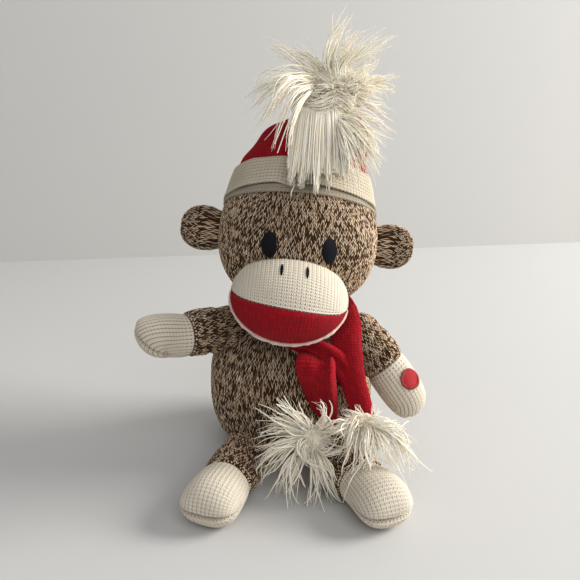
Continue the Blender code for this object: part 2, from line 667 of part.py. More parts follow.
# Scarf tails, each with a pom at its end over the legs, hinged on the knot's middle line
tail_clear = Vector((SOCKET_GAP, SOCKET_GAP, SOCKET_GAP))
knot_room = place("knot_room", egg(KNOT_HALF + tail_clear), None, None, knot_centre)
leg_top = hip_height + LEG_ROOT_RADIUS * LEG_HEIGHT_SHARE
tails = (
    ("right", TAIL_RIGHT_FROM_KNOT_SHARE, TAIL_RIGHT_BULGE_SHARES, TAIL_RIGHT_END_SHARES, TAIL_RIGHT_HALF_WIDTHS,
     POM_RIGHT_SHARES, POM_RIGHT_LIFT),
    ("left", TAIL_LEFT_FROM_KNOT_SHARE, TAIL_LEFT_BULGE_SHARES, TAIL_LEFT_END_SHARES, TAIL_LEFT_HALF_WIDTHS,
     POM_LEFT_SHARES, POM_LEFT_LIFT),
)
for side, from_knot_share, bulge_shares, end_shares, half_widths, pom_shares, lift in tails:
    top = knot_centre + Vector((KNOT_HALF.x * from_knot_share, 0, 0))
    pom_centre = on_body((*pom_shares, 0.0)) + Vector((0, 0, leg_top + POM_RADIUS + lift))
    end = pom_centre + shares_of(POM_RADIUS, end_shares)
    middle = (top + end) / 2 + shares_of((end - top).length, bulge_shares)
    holder = empty("scarf_tail_" + side + "_pivot", top)
    inside = [point - top for point in (top, middle, end)]
    pom_spot = pom_centre - top
    tail = place("scarf_tail_" + side, strip(inside, half_widths, TAIL_HALF_THICKNESS), "red_knit", holder)
    pom_shape = place("pom_shape_" + side, ball(POM_RADIUS + GAP), None, holder, pom_spot)
    cut(tail, pom_shape, knot_room, body_shape)
    place("pom_" + side, ball(POM_RADIUS), "cream_yarn", holder, pom_spot)

bpy.context.view_layer.update()
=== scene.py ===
"""A seated sock monkey doll, dressed in knit covers, yarn and embroidery.

Metres, +Z up. The doll faces -Y, and its own right side is -X.
Every knit piece is a grid laid on a form, its points raised into columns of V stitches.
"""
import json
from math import atan2, cos, pi, radians, sin, sqrt

import bmesh
import bpy
import numpy as np
from mathutils import Matrix, Vector


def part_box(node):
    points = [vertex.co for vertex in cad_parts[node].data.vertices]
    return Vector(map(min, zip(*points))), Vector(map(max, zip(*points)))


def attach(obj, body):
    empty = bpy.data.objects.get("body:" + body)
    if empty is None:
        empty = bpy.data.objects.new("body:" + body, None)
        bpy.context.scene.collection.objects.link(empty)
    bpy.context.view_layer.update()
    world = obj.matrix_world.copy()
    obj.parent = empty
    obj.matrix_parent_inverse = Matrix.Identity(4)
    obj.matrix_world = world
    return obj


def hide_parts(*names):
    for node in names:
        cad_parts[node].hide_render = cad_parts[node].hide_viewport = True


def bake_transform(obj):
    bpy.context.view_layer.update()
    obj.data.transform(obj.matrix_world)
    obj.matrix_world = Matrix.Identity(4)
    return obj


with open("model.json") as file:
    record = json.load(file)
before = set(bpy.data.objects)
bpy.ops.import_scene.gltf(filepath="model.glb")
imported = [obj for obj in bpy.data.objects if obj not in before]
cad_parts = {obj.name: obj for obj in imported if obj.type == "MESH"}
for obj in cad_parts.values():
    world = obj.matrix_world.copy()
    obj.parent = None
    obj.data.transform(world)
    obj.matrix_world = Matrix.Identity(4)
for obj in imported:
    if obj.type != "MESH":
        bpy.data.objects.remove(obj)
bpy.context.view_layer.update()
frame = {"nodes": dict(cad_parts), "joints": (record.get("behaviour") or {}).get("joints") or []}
JOINTS = {joint["name"]: joint for joint in frame["joints"]}
BODY_LOW, BODY_HIGH = (Vector(corner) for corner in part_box("body_cover"))

# Knitting gauge: a wale is a column of stitches, a course is a row
WALE = 0.0027
COURSE = 0.0022
MARL_WALE = 0.0024
MARL_COURSE = 0.0019
FINE_WALE = 0.0021
FINE_COURSE = 0.0017
CUFF_COURSE = 0.0025

# The knit grid: its columns for each wale, its rows for each course, how many courses a V's arms rise,
# and over how many courses the stitches flatten towards a seam
COLUMNS = 4
ROWS = 3
STITCH_LEAN = 1.5
EDGE_COURSES = 2.5
RELIEF = 0.00075
FINE_RELIEF = 0.00045
FILLING_RELIEF = 0.0003
WELD = 0.00002
FLOOR_CLEAR = 0.0002

# Body: its half outline as shares of its half width and height
BODY_OUTLINE_SHARES = (
    (0.0, 0.0), (0.30, 0.0), (0.52, 0.010), (0.66, 0.040), (0.80, 0.090), (0.91, 0.165), (0.98, 0.30),
    (1.0, 0.46), (0.975, 0.62), (0.885, 0.765), (0.74, 0.88), (0.57, 0.945), (0.33, 0.985), (0.0, 1.0),
)
BODY_COVER_LENGTH = 0.125

# Head, in its own frame: centre of the head at zero
NECK = Vector(JOINTS["neck_turn"]["pos_m"])
HEAD_LEAN = atan2(JOINTS["neck_turn"]["axis"][0], JOINTS["neck_turn"]["axis"][2])
HEAD_RISE = 0.044
HEAD_RADIUS = 0.051
HEAD_DROP = 0.045
HEAD_COVER_LENGTH = 0.152
HEAD = Matrix.Translation(NECK) @ Matrix.Rotation(HEAD_LEAN, 4, "Y") @ Matrix.Translation((0, 0, HEAD_RISE))

# Muzzle, in the head's frame
MUZZLE_CENTRE = Vector((-0.0025, -0.045, -0.0245))
MUZZLE_HALF = Vector((0.0345, 0.033, 0.0255))
MOUTH_HEIGHT = 0.004
MOUTH_DROP = 0.004
MOUTH_ROLL = radians(4.5)
CHIN_SEAM = radians(-64)
MUZZLE_TURN = radians(89.4)
PIPING_RADIUS = 0.00125
THROAT_RADIUS = 0.0345

# Face
EYE_APART = 0.0174
EYE_ABOVE = 0.0069
EYE_HALF = (0.0046, 0.0076)
EYE_PROUD = 0.0013
NOSTRIL_APART = 0.0072
NOSTRIL_ASIDE = -0.0017
NOSTRIL_RISE = 1.035
NOSTRIL_HALF_TURN = 0.150
NOSTRIL_THREAD = 0.00052
THREAD = 0.00045

# Ears
EAR_OUT = 0.060
EAR_ABOVE = 0.0015
EAR_RADIUS = 0.0142
EAR_HALF_THICKNESS = 0.0072
EAR_ROOT_DEPTH = 0.016
EAR_WALES = 30

# Hat, in a frame that is tilted back on the head
HAT = HEAD @ Matrix.Rotation(radians(-25), 4, "X") @ Matrix.Rotation(radians(-0.4), 4, "Y")
CUFF_LOW = 0.0203
CUFF_HIGH = 0.0418
CUFF_RADIUS = 0.0478
CUFF_TOP_RADIUS = 0.0437
CUFF_LIFT = 0.0036
CUFF_FLARE = 0.0018
CUFF_FOLD = 0.0045
LINING_BELOW = 0.0026
LINING_WIDTH = 0.011
TACK_TURN = radians(-8)
TACK_YARN = 0.00042
CROWN_RADIUS = 0.0425
CROWN_TIP_RADIUS = 0.0065
CROWN_TIP_DROP = 0.0105
CROWN_TUCK = 0.0035
CROWN_SHARES = (
    (1.0, 0.0), (0.965, 0.08), (0.90, 0.22), (0.75, 0.45), (0.54, 0.68), (0.33, 0.88), (0.06, 1.0),
)
CROWN_BULGE = 0.0050
CROWN_WALES = 112
CROWN_COURSES = 50

# Arms
ARM_LENGTH = 0.0645
ARM_ROOT = 0.0128
ARM_WIDEST_AT = 0.0480
SLEEVE_ROUND_ROOT = 0.018
SLEEVE_WRINKLE = 0.0011
HAND_COVER_END = 0.0705
HAND_RADIUS = 0.0136

# Legs, flattened by lying on the table
LEG_ROOT = 0.0157
SHIN_RADIUS = 0.0160
ANKLE_AT = 0.0300
ANKLE_RADIUS = 0.0153
LEG_COVER_LENGTH = 0.053
LEG_WRINKLE = 0.0006
FOOT_RADIUS = 0.0166
FOOT_WIDEST_AT = 0.0490
FOOT_COVER_LENGTH = 0.046
LEG_HEIGHT_SHARE = 0.84

# Seams, wrinkles and filling of the limbs: the filling's half outline is (radius, distance)
WRIST_SEAM_DEPTH = 0.0010
WRIST_SEAM_RUN = 0.0026
END_SEAM_DEPTH = 0.0034
END_SEAM_RUN = 0.0019
END_SEAM_SHADE = 0.0011
WRINKLE_LENGTH = 0.0085
WRINKLE_AT = 0.011
WRINKLE_REACH = 0.009
FILLING_OUTLINE = (
    (0.0, -0.0085), (0.0085, -0.002), (0.0113, 0.012), (0.0106, 0.032), (0.0106, 0.042), (0.0068, 0.051),
    (0.0, 0.0550),
)

# Patch
PATCH_RADIUS = 0.0056
PATCH_AT = 0.0393
PATCH_RIM_STITCHES = 96
PATCH_RIM_HALF = 0.00075
PATCH_RIM_THREAD = 0.00024

# Scarf
SCARF_HALF_THICKNESS = 0.0022

# Tassel and poms
TASSEL = Vector(JOINTS["tassel_swing"]["pos_m"])
STRAND = 0.00042
SKIRT_STRANDS = 1350
SKIRT_LOCKS = 38
TASSEL_WRAPS = 430
YARN_FLOOR = 0.0010

RANDOM = np.random.default_rng(11)


class Route:
    """The smooth line through given places, read at shares of its length."""

    def __init__(self, places, steps=24):
        places = np.array([tuple(place) for place in places], float)
        ends = np.vstack([2 * places[0] - places[1], places, 2 * places[-1] - places[-2]])
        t = np.linspace(0, 1, steps, endpoint=False)[:, None]
        runs = []
        for a, b, c, d in zip(ends, ends[1:], ends[2:], ends[3:]):
            runs.append(b + (c - a) / 2 * t + (2 * a - 5 * b + 4 * c - d) / 2 * t ** 2
                        + (3 * b - a - 3 * c + d) / 2 * t ** 3)
        self.line = np.vstack(runs + [places[-1:]])
        gone = np.linalg.norm(np.diff(self.line, axis=0), axis=1)
        self.gone = np.concatenate([[0], np.cumsum(gone)])
        self.length = self.gone[-1]

    def at(self, share):
        return np.stack([np.interp(share * self.length, self.gone, part) for part in self.line.T], 1)


def unit(vectors):
    return vectors / np.maximum(np.linalg.norm(vectors, axis=1, keepdims=True), 1e-12)


def moved(points, matrix):
    matrix = np.array(matrix)
    return points @ matrix[:3, :3].T + matrix[:3, 3]


def lumps(size, depth, seed):
    """A soft unevenness of stuffing, as a height for each point."""
    draw = np.random.default_rng(seed)
    waves = unit(draw.normal(size=(9, 3))) * 2 * pi / size * draw.uniform(0.6, 1.5, (9, 1))
    starts = draw.uniform(0, 2 * pi, 9)
    return lambda points: depth * np.sin(points @ waves.T + starts).sum(1) / 3


def push_out(points, centre, radius):
    """The points moved out of a ball."""
    away = points - np.array(centre)
    distance = np.linalg.norm(away, axis=1, keepdims=True)
    return np.array(centre) + away * np.maximum(radius / np.maximum(distance, 1e-9), 1)


# Finishes


class Value:
    """A shader socket that adds its Math nodes as it is used in sums."""

    def __init__(self, finish, socket):
        self.finish = finish
        self.socket = socket

    def maths(self, operation, *values):
        return self.finish.node("ShaderNodeMath", {"operation": operation}, values)[0]

    def __add__(self, other):
        return self.maths("ADD", self, other)

    def __sub__(self, other):
        return self.maths("SUBTRACT", self, other)

    def __rsub__(self, other):
        return self.maths("SUBTRACT", other, self)

    def __mul__(self, other):
        return self.maths("MULTIPLY", self, other)

    def __pow__(self, other):
        return self.maths("POWER", self, other)

    __radd__ = __add__
    __rmul__ = __mul__

    def larger(self, other):
        return self.maths("MAXIMUM", self, other)

    def floor(self):
        return self.maths("FLOOR", self)

    def rest(self):
        return self.maths("FRACT", self)

    def size(self):
        return self.maths("ABSOLUTE", self)

    def wave(self):
        """A sine with one turn for each whole number."""
        return self.maths("SINE", self * (2 * pi))

    def step(self, low, high):
        """A smooth rise from 0 at low to 1 at high."""
        return self.finish.node(
            "ShaderNodeMapRange", {"interpolation_type": "SMOOTHSTEP"}, (self, low, high))[0]


class Finish:
    """A material whose nodes are written as sums."""

    def __init__(self, name, roughness, sheen=0.0, sheen_tint=(1, 1, 1, 1), sheen_roughness=0.5, specular=0.12):
        self.material = bpy.data.materials.new(name)
        self.material.use_nodes = True
        self.tree = self.material.node_tree
        self.surface = self.tree.nodes["Principled BSDF"]
        self.surface.inputs["Roughness"].default_value = roughness
        self.surface.inputs["Sheen Weight"].default_value = sheen
        self.surface.inputs["Sheen Roughness"].default_value = sheen_roughness
        self.surface.inputs["Sheen Tint"].default_value = sheen_tint
        self.surface.inputs["Specular IOR Level"].default_value = specular

    def node(self, kind, settings, values):
        """A node with its settings made first, then its sockets; its outputs as values."""
        made = self.tree.nodes.new(kind)
        for setting, choice in settings.items():
            setattr(made, setting, choice)
        pairs = values.items() if isinstance(values, dict) else enumerate(values)
        for socket, value in pairs:
            if isinstance(value, Value):
                self.tree.links.new(value.socket, made.inputs[socket])
            else:
                made.inputs[socket].default_value = value
        return [Value(self, output) for output in made.outputs]

    def map_place(self, name):
        """The piece's own map, as its two coordinates."""
        place = self.node("ShaderNodeUVMap", {"uv_map": name}, ())[0]
        across, up, _ = self.node("ShaderNodeSeparateXYZ", {}, (place,))
        return across, up

    def painted(self, name):
        """A number that the piece carries at each of its points, or 0."""
        return self.node("ShaderNodeAttribute", {"attribute_name": name}, ())[2]

    def object_place(self):
        return self.node("ShaderNodeTexCoord", {}, ())[3]

    def noise(self, place, scale, detail=3.0):
        return self.node("ShaderNodeTexNoise", {}, {"Vector": place, "Scale": scale, "Detail": detail})[0]

    def chance(self, first, second, third=0.0):
        """A number from 0 to 1, the same all over a cell."""
        place = self.node("ShaderNodeCombineXYZ", {}, (first, second, third))[0]
        return self.node("ShaderNodeTexWhiteNoise", {"noise_dimensions": "3D"}, {"Vector": place})[0]

    def mix(self, share, first, second):
        values = {0: share, 6: first, 7: second}
        return self.node("ShaderNodeMix", {"data_type": "RGBA"}, values)[2]

    def colour(self, value):
        self.tree.links.new(value.socket, self.surface.inputs["Base Color"])

    def bump(self, height, distance):
        made = self.node("ShaderNodeBump", {}, {"Strength": 1.0, "Distance": distance, "Height": height})[0]
        self.tree.links.new(made.socket, self.surface.inputs["Normal"])


def stitch_cells(across, up):
    """How far a place lies from its wale's middle, and along its stitch, from 0 to 1."""
    return (across.rest() * 2 - 1).size(), up.rest()


def knit_bump(finish, side, along, fuzz, depth):
    """The round yarn, its two twisted plies and its loose fibres."""
    round_yarn = 1 - ((along * 2 - 1).size()) ** 2.0
    ply = ((along + side * 1.6).wave() * 0.5 + 0.5) * 0.4
    finish.bump(round_yarn * 0.6 + ply + fuzz * 0.7, depth)


def marl_finish(name, dark_ply, light_ply, groove_shade_colour, sheen, sheen_tint, depth):
    """Brown and cream plies twisted into one yarn, so that light flecks follow the stitches."""
    finish = Finish(name, 0.95, sheen, sheen_tint)
    across, up = finish.map_place("knit")
    side, along = stitch_cells(across, up)
    leg = (across * 2).floor()
    row = up.floor()
    toss = finish.chance(leg, row)
    streak = finish.chance(leg, (up * 0.34 + finish.chance(leg, 2.0)).floor(), 5.0)
    start = finish.chance(leg, row, 4.0)
    shade = finish.chance(leg, row, 9.0)
    twist = ((leg + row) * 0.5).rest() * 2
    fuzz = finish.noise(finish.object_place(), 2600.0)
    cloud = finish.noise(finish.object_place(), 90.0)

    picked = (toss * 0.64 + streak * 0.10 + twist * 0.26 + (cloud - 0.5) * 0.08).step(0.37, 0.49)
    run = 1 - (side - start * 0.24 - 0.38).size().step(0.34, 0.52)
    strand = 1 - (along - 0.38 - shade * 0.24).size().step(0.17, 0.38)
    faint = fuzz.step(0.55, 0.72) * 0.10
    fleck = (picked * run * strand * (0.62 + toss * 0.38)).larger(faint)
    yarn = finish.mix(fleck, finish.mix(fuzz, *dark_ply), finish.mix(start, *light_ply))

    # Painted shade in the grooves down and between the wales, and in the gaps between courses.
    groove_shade = side.step(0.84, 1.0) * 0.55 + (1 - side.step(0.0, 0.14)) * 0.35
    gap_shade = (along - 0.5).size().step(0.40, 0.5) * 0.40
    finish.colour(finish.mix(groove_shade.larger(gap_shade), yarn, groove_shade_colour))
    knit_bump(finish, side, along, fuzz, depth)
    return finish.material


# Painted shade: the hole colour darkens the holes, the lines between the wales, the V's middles and the gaps
# between courses, each by its own share.
def plain_finish(name, light, deep, hole_shade, sheen, sheen_tint, depth, hole_shade_share=0.72, lines=0.05, middle_shade_share=0.62,
                 gap_shade_share=0.22):
    """One colour of yarn, a little uneven, with painted shade in the holes and lines between its stitches."""
    finish = Finish(name, 0.93, sheen, sheen_tint)
    across, up = finish.map_place("knit")
    side, along = stitch_cells(across, up)
    shade = finish.chance((across * 2).floor(), up.floor())
    fuzz = finish.noise(finish.object_place(), 2400.0)
    cloud = finish.noise(finish.object_place(), 70.0)
    yarn = finish.mix(shade * 0.4 + fuzz * 0.35 + cloud * 0.25, deep, light)

    from_middle = (along - 0.5).size()
    gap_shade = from_middle.step(0.26, 0.5)
    dot = from_middle.step(0.12, 0.40) * (0.60 + shade * 0.40)
    between = side.step(0.56, 0.90)
    middle = 1 - side.step(0.04, 0.34)
    # Painted shade between the stitches, joined with the painted shade of seams and linings.
    shade_paint = gap_shade * gap_shade_share + (between * hole_shade_share + middle * middle_shade_share) * dot + between * lines
    finish.colour(finish.mix(shade_paint.larger(finish.painted("painted_shade")), yarn, hole_shade))
    knit_bump(finish, side, along, fuzz, depth)
    return finish.material


def satin_finish(name, light, deep, roughness):
    """Shiny embroidery threads that lie side by side."""
    finish = Finish(name, roughness, specular=0.04)
    across, up = finish.map_place("thread")
    bend = across + (up * 0.16).wave() * 0.12
    shade = finish.chance(bend.floor(), 1.0)
    twist = (up * 1.2 + across).wave()
    ridge = 1 - ((bend.rest() * 2 - 1).size()) ** 2.0
    fuzz = finish.noise(finish.object_place(), 3000.0)
    # Each thread's middle is painted lighter and its sides darker, as painted shade between the threads.
    finish.colour(finish.mix(shade * 0.5 + ridge * 0.3 + fuzz * 0.2, deep, light))
    finish.bump(ridge + twist * 0.12 + fuzz * 0.25, 0.0002)
    return finish.material


def yarn_finish(name, light, deep, roughness):
    """Loose strands, each a little lighter or darker than the next, with a silky sheen."""
    finish = Finish(name, roughness, sheen=0.85, sheen_tint=light, sheen_roughness=0.35)
    place = finish.object_place()
    wide = finish.noise(place, 130.0)
    fine = finish.noise(place, 1500.0)
    finish.colour(finish.mix((wide * 0.65 + fine * 0.5).step(0.32, 0.78), deep, light))
    finish.bump(fine, 0.0001)
    return finish.material


def filling_finish():
    """White fibre filling, inside the covers."""
    finish = Finish("fibre_filling", 1.0, sheen=0.3)
    tuft = finish.noise(finish.object_place(), 160.0, detail=6.0)
    finish.colour(finish.mix(tuft, (0.70, 0.70, 0.68, 1), (0.92, 0.92, 0.90, 1)))
    finish.bump(tuft, 0.002)
    return finish.material


def paint_finish(name, colour):
    """Matt paint with a faint grain, for the table and the wall."""
    finish = Finish(name, 0.7)
    near = tuple(part * 0.985 for part in colour[:3]) + (1,)
    finish.colour(finish.mix(finish.noise(finish.object_place(), 900.0), near, colour))
    return finish.material


MARL = {
    "dark_ply": ((0.018, 0.0068, 0.0026, 1), (0.070, 0.029, 0.0115, 1)),
    "light_ply": ((0.74, 0.49, 0.30, 1), (1.0, 0.85, 0.64, 1)),
    # The groove colour is painted shade for the knit's grooves.
    "groove_shade_colour": (0.012, 0.005, 0.0022, 1),
    "sheen": 0.16, "sheen_tint": (1.0, 0.62, 0.38, 1), "depth": 0.00030,
}
CREAM_WOOL = {
    "light": (0.94, 0.865, 0.73, 1), "deep": (0.80, 0.715, 0.575, 1), "hole_shade": (0.105, 0.076, 0.042, 1),
    "sheen": 0.15, "sheen_tint": (0.90, 0.83, 0.70, 1), "depth": 0.00025,
}
CUFF_WOOL = {
    "light": (0.78, 0.70, 0.56, 1), "deep": (0.62, 0.54, 0.41, 1), "hole_shade": (0.070, 0.050, 0.027, 1),
    "sheen": 0.12, "sheen_tint": (0.90, 0.83, 0.70, 1), "depth": 0.00025,
}
RED_WOOL = {
    "light": (0.60, 0.014, 0.028, 1), "deep": (0.22, 0.003, 0.006, 1), "hole_shade": (0.018, 0.0, 0.0005, 1),
    "sheen": 0.16, "sheen_tint": (1.0, 0.36, 0.36, 1), "depth": 0.00032,
}
FINISHES = {
    "brown_knit": marl_finish("marl_knit", **MARL),
    "cream_knit": plain_finish("cream_wool_knit", **CREAM_WOOL),
    # The cuff, hands and feet carry their own shares of painted shade between their stitches.
    "cuff_knit": plain_finish("cuff_wool_knit", **CUFF_WOOL, hole_shade_share=0.88, lines=0.12, middle_shade_share=0.18),
    "hand_knit": plain_finish("hand_wool_knit", **CREAM_WOOL, hole_shade_share=0.40, lines=0.34, middle_shade_share=0.12, gap_shade_share=0.34),
    "foot_knit": plain_finish("foot_wool_knit", **CREAM_WOOL, hole_shade_share=0.62, lines=0.10, middle_shade_share=0.26, gap_shade_share=0.44),
    "red_knit": plain_finish("red_wool_knit", **RED_WOOL),
    "black_thread": satin_finish(
        "black_satin_thread", (0.020, 0.021, 0.027, 1), (0.002, 0.0025, 0.003, 1), roughness=0.5),
    "red_thread": satin_finish(
        "red_satin_thread", (0.68, 0.075, 0.080, 1), (0.36, 0.016, 0.022, 1), roughness=0.6),
    "rim_thread": satin_finish(
        "rim_satin_thread", (0.62, 0.15, 0.145, 1), (0.42, 0.055, 0.058, 1), roughness=0.7),
    "cream_yarn": yarn_finish("cream_loose_yarn", (1.0, 0.970, 0.87, 1), (0.97, 0.875, 0.68, 1), roughness=0.5),
    "piping_yarn": yarn_finish("peach_piping_yarn", (0.90, 0.74, 0.66, 1), (0.72, 0.52, 0.44, 1), roughness=0.9),
    "stuffing": filling_finish(),
}


# Making of pieces


def finished(name, mesh, slot, body, *nodes, finish=None):
    """The piece as an object that rides on its body, where it has one, and stands for its CAD nodes."""
    mesh.materials.clear()
    mesh.materials.append(FINISHES[finish or slot])
    mesh.shade_smooth()
    piece = bpy.data.objects.new(name, mesh)
    bpy.context.scene.collection.objects.link(piece)
    if body:
        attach(piece, body)
    if nodes:
        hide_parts(*nodes)
    return piece


def points_of(mesh):
    spots = np.empty(len(mesh.vertices) * 3)
    mesh.vertices.foreach_get("co", spots)
    return spots.reshape(-1, 3)


def flat_grid(name, columns, rows):
    """A flat grid to lay on a form, and how far each point lies across and up it, from 0 to 1."""
    bm = bmesh.new()
    bmesh.ops.create_grid(bm, x_segments=columns, y_segments=rows, size=0.5)
    mesh = bpy.data.meshes.new(name)
    bm.to_mesh(mesh)
    bm.free()
    spots = points_of(mesh)
    return mesh, spots[:, 0] + 0.5, spots[:, 1] + 0.5


def map_points(mesh, name, first, second):
    """A UV map from one pair of numbers for each point."""
    corners = np.empty(len(mesh.loops), np.int32)
    mesh.loops.foreach_get("vertex_index", corners)
    layer = mesh.uv_layers.new(name=name)
    layer.data.foreach_set("uv", np.stack([first[corners], second[corners]], 1).astype(np.float32).ravel())


def outward_of(form, across, up):
    """Unit vectors square to a form."""
    tiny = 0.0005
    pole = 0.004
    inner = np.clip(up, pole, 1 - pole)
    right = form(across + tiny, inner) - form(across - tiny, inner)
    above = form(across, np.minimum(up + tiny, 1)) - form(across, np.maximum(up - tiny, 0))
    return unit(np.cross(right, above))


def close_up(mesh, turn_over=False):
    """Joins the grid's meeting edges, and turns its faces out."""
    bm = bmesh.new()
    bm.from_mesh(mesh)
    bmesh.ops.remove_doubles(bm, verts=bm.verts, dist=WELD)
    if turn_over:
        bmesh.ops.reverse_faces(bm, faces=bm.faces)
    bm.to_mesh(mesh)
    bm.free()


def swelling(share, low):
    """A round swell over a share from 0 to 1: low at its ends, 1 in its middle."""
    return low + (1 - low) * np.sin(pi * np.clip(share, 0, 1)) ** 0.8


def knit(name, form, wales, courses, relief=RELIEF, on_floor=False, shade_paint=None):
    """A mesh of knitting on a form: across runs over the wales, up along them."""
    mesh, across, up = flat_grid(name, wales * COLUMNS, courses * ROWS)
    side = np.abs(2 * ((across * wales) % 1.0) - 1)
    edge = np.minimum(1, np.minimum(up, 1 - up) * courses / EDGE_COURSES)
    high = np.clip(up + STITCH_LEAN * (side - 0.5) * edge / courses, 0, 1)
    stitch = swelling(side, 0.30) * swelling((up * courses) % 1.0, 0.25)
    points = form(across, high)
    outward = outward_of(form, across, high)
    turn_over = (outward * (points - points.mean(0))).sum() < 0
    if turn_over:
        outward = -outward
    points = points + outward * (relief * (stitch * edge - 0.5))[:, None]
    if on_floor:
        points[:, 2] = np.maximum(points[:, 2], FLOOR_CLEAR)
    map_points(mesh, "knit", across * wales, up * courses)
    map_points(mesh, "OFBake", across, up)
    mesh.vertices.foreach_set("co", points.ravel())
    # The painted shade of a seam or a lining, carried at each point for the finish.
    if shade_paint:
        mesh.attributes.new("painted_shade", "FLOAT", "POINT").data.foreach_set("value", shade_paint(across, up))
    close_up(mesh, turn_over)
    return mesh


# Forms: each gives places in metres for across and up, both from 0 to 1


def body_form(first, last):
    """Part of the turned body, between two angles from the front."""
    half_width = (BODY_HIGH.x - BODY_LOW.x) / 2
    half_depth = (BODY_HIGH.y - BODY_LOW.y) / 2
    outline = Route([(half_width * wide, BODY_HIGH.z * high) for wide, high in BODY_OUTLINE_SHARES])
    soft = lumps(0.045, 0.0007, 3)

    def form(across, up):
        turn = first + (last - first) * across
        radius, height = outline.at(up).T
        points = np.stack(
            [radius * np.sin(turn), -radius * half_depth / half_width * np.cos(turn), height], 1)
        points[:, :2] *= (1 + soft(points) / half_width)[:, None]
        return points

    return form


def head_form(first, last):
    soft = lumps(0.05, 0.0005, 5)

    def form(across, up):
        turn = first + (last - first) * across
        rise = (up - 0.5) * pi
        radius = HEAD_RADIUS * np.cos(rise)
        height = np.where(rise < 0, HEAD_DROP, HEAD_RADIUS) * np.sin(rise)
        points = np.stack([radius * np.sin(turn), -radius * np.cos(turn), height], 1)
        return moved(points * (1 + soft(points) / HEAD_RADIUS)[:, None], HEAD)

    return form


def tube_form(route, half_width, half_thickness, wide_way, waves=None):
    """A soft band round a route: wide_way gives the band's width direction at a share."""

    def form(across, up):
        share = np.clip(up, 0, 1)
        centre = route.at(share)
        ahead = unit(route.at(np.minimum(share + 0.01, 1)) - route.at(np.maximum(share - 0.01, 0)))
        wide = wide_way(share)
        wide = unit(wide - ahead * (wide * ahead).sum(1, keepdims=True))
        thick = np.cross(ahead, wide)
        round_it = (across % 1.0) * 2
        side = np.where(round_it < 1, 1.0, -1.0)
        x = np.where(round_it < 1, 2 * round_it - 1, 3 - 2 * round_it)
        y = side * np.sqrt(np.maximum(1 - x ** 4, 0))
        bend = waves(x, share) if waves else 0
        return (centre + wide * (x * half_width(share))[:, None]
                + thick * (y * half_thickness(share) + bend)[:, None])

    return form


def closed_ends(share, run):
    """Falls to nothing over a run at both ends of a band, to close it."""
    return np.sqrt(np.clip(1 - np.clip(1 - np.minimum(share, 1 - share) / run, 0, 1) ** 2, 0, 1))


class Limb:
    """A stuffed tube from a joint towards its hand or foot; its end closes flat in a seam."""

    def __init__(self, joint, end_node, seam_way, outline, length, end_radius, widest, square, soft_seed,
                 lowered=0.0, sag=(0, 0, 0), curl=(0, 0, 0), height_share=1.0, slant=0.0):
        self.pivot = np.array(JOINTS[joint]["pos_m"])
        along = points_of(frame["nodes"][end_node].data).mean(0) - self.pivot
        self.along = along / np.linalg.norm(along)
        wide = np.array(seam_way) - self.along * np.dot(seam_way, self.along)
        self.wide = wide / np.linalg.norm(wide)
        self.thick = np.cross(self.along, self.wide)
        self.outline = outline
        self.length = length
        self.end_radius = end_radius
        self.widest = widest
        self.square = square
        self.lowered = lowered if self.thick[2] >= 0 else -lowered
        self.sag = np.array(sag)
        self.curl = np.array(curl)
        self.height_share = height_share
        self.slant = slant
        self.soft = lumps(0.03, 0.0006, soft_seed)

    def place(self, x, y, s):
        """A place in metres: x along the seam's way, y square to it, s from the joint."""
        outward = self.wide * x[:, None] + self.thick * (y * self.height_share)[:, None]
        points = self.pivot + outward + self.along * s[:, None]
        points = points + unit(outward + 1e-9) * self.soft(points)[:, None]
        share = np.clip(s / self.length, 0, 1)[:, None]
        return points + self.sag * share + self.curl * share ** 2

    def turned(self, outline, wrinkle=0.0):
        """A form turned from a half outline of (radius, distance), with folds near the root."""
        route = Route(outline)

        def form(across, up):
            turn = 2 * pi * across
            radius, s = route.at(up).T
            fold = np.sin(s * 2 * pi / WRINKLE_LENGTH + 1.2 * np.sin(turn * 2))
            near = np.exp(-((s - WRINKLE_AT) / WRINKLE_REACH) ** 2) * (0.6 + 0.4 * np.cos(turn))
            radius = radius + wrinkle * fold * near
            return self.place(radius * np.cos(turn), radius * np.sin(turn), s)

        return form

    def end(self, start_at, start_radius):
        """The hand or foot: a mitten's end whose wales meet in a sunken seam, lowered by an angle; with the
        painted shade along that seam.
        """
        lead = self.widest - start_at
        cap = self.length - self.widest
        cap_cover = cap * 1.4
        total = lead + cap_cover
        centre = self.pivot + self.along * self.widest

        def form(across, up):
            turn = 2 * pi * across
            gone = up * total
            share = np.clip(gone / lead, 0, 1)
            radius = start_radius + (self.end_radius - start_radius) * np.sin(share * pi / 2)
            radius = radius - WRIST_SEAM_DEPTH * np.clip(1 - gone / WRIST_SEAM_RUN, 0, 1) ** 2
            lean = np.where(np.sin(turn) >= 0, self.lowered, -self.lowered)
            rise = np.clip((gone - lead) / cap_cover, 0, 1) * (pi / 2 + lean)
            x = radius * np.cos(turn)
            y = radius * np.sin(turn) * np.cos(rise)
            arch = (1 - np.abs(np.cos(turn)) ** self.square) ** (1 / self.square)
            s = start_at + share * lead + cap * arch * np.sin(rise)
            high = (self.wide[2] * x + self.thick[2] * y) / self.end_radius
            s = s + self.slant * (high - 1) * np.clip((gone - lead * 0.4) / (total - lead * 0.4), 0, 1)
            points = self.place(x, y, s)
            crease = np.exp(-((total - gone) / END_SEAM_RUN) ** 2) * np.clip(np.abs(np.sin(turn)) * 3, 0, 1)
            return points - unit(points - centre) * (END_SEAM_DEPTH * crease)[:, None]

        def painted_shade(across, up):
            """How much painted shade lies along the sunken seam."""
            return 0.9 * np.exp(-((total - up * total) / END_SEAM_SHADE) ** 2)

        return form, painted_shade


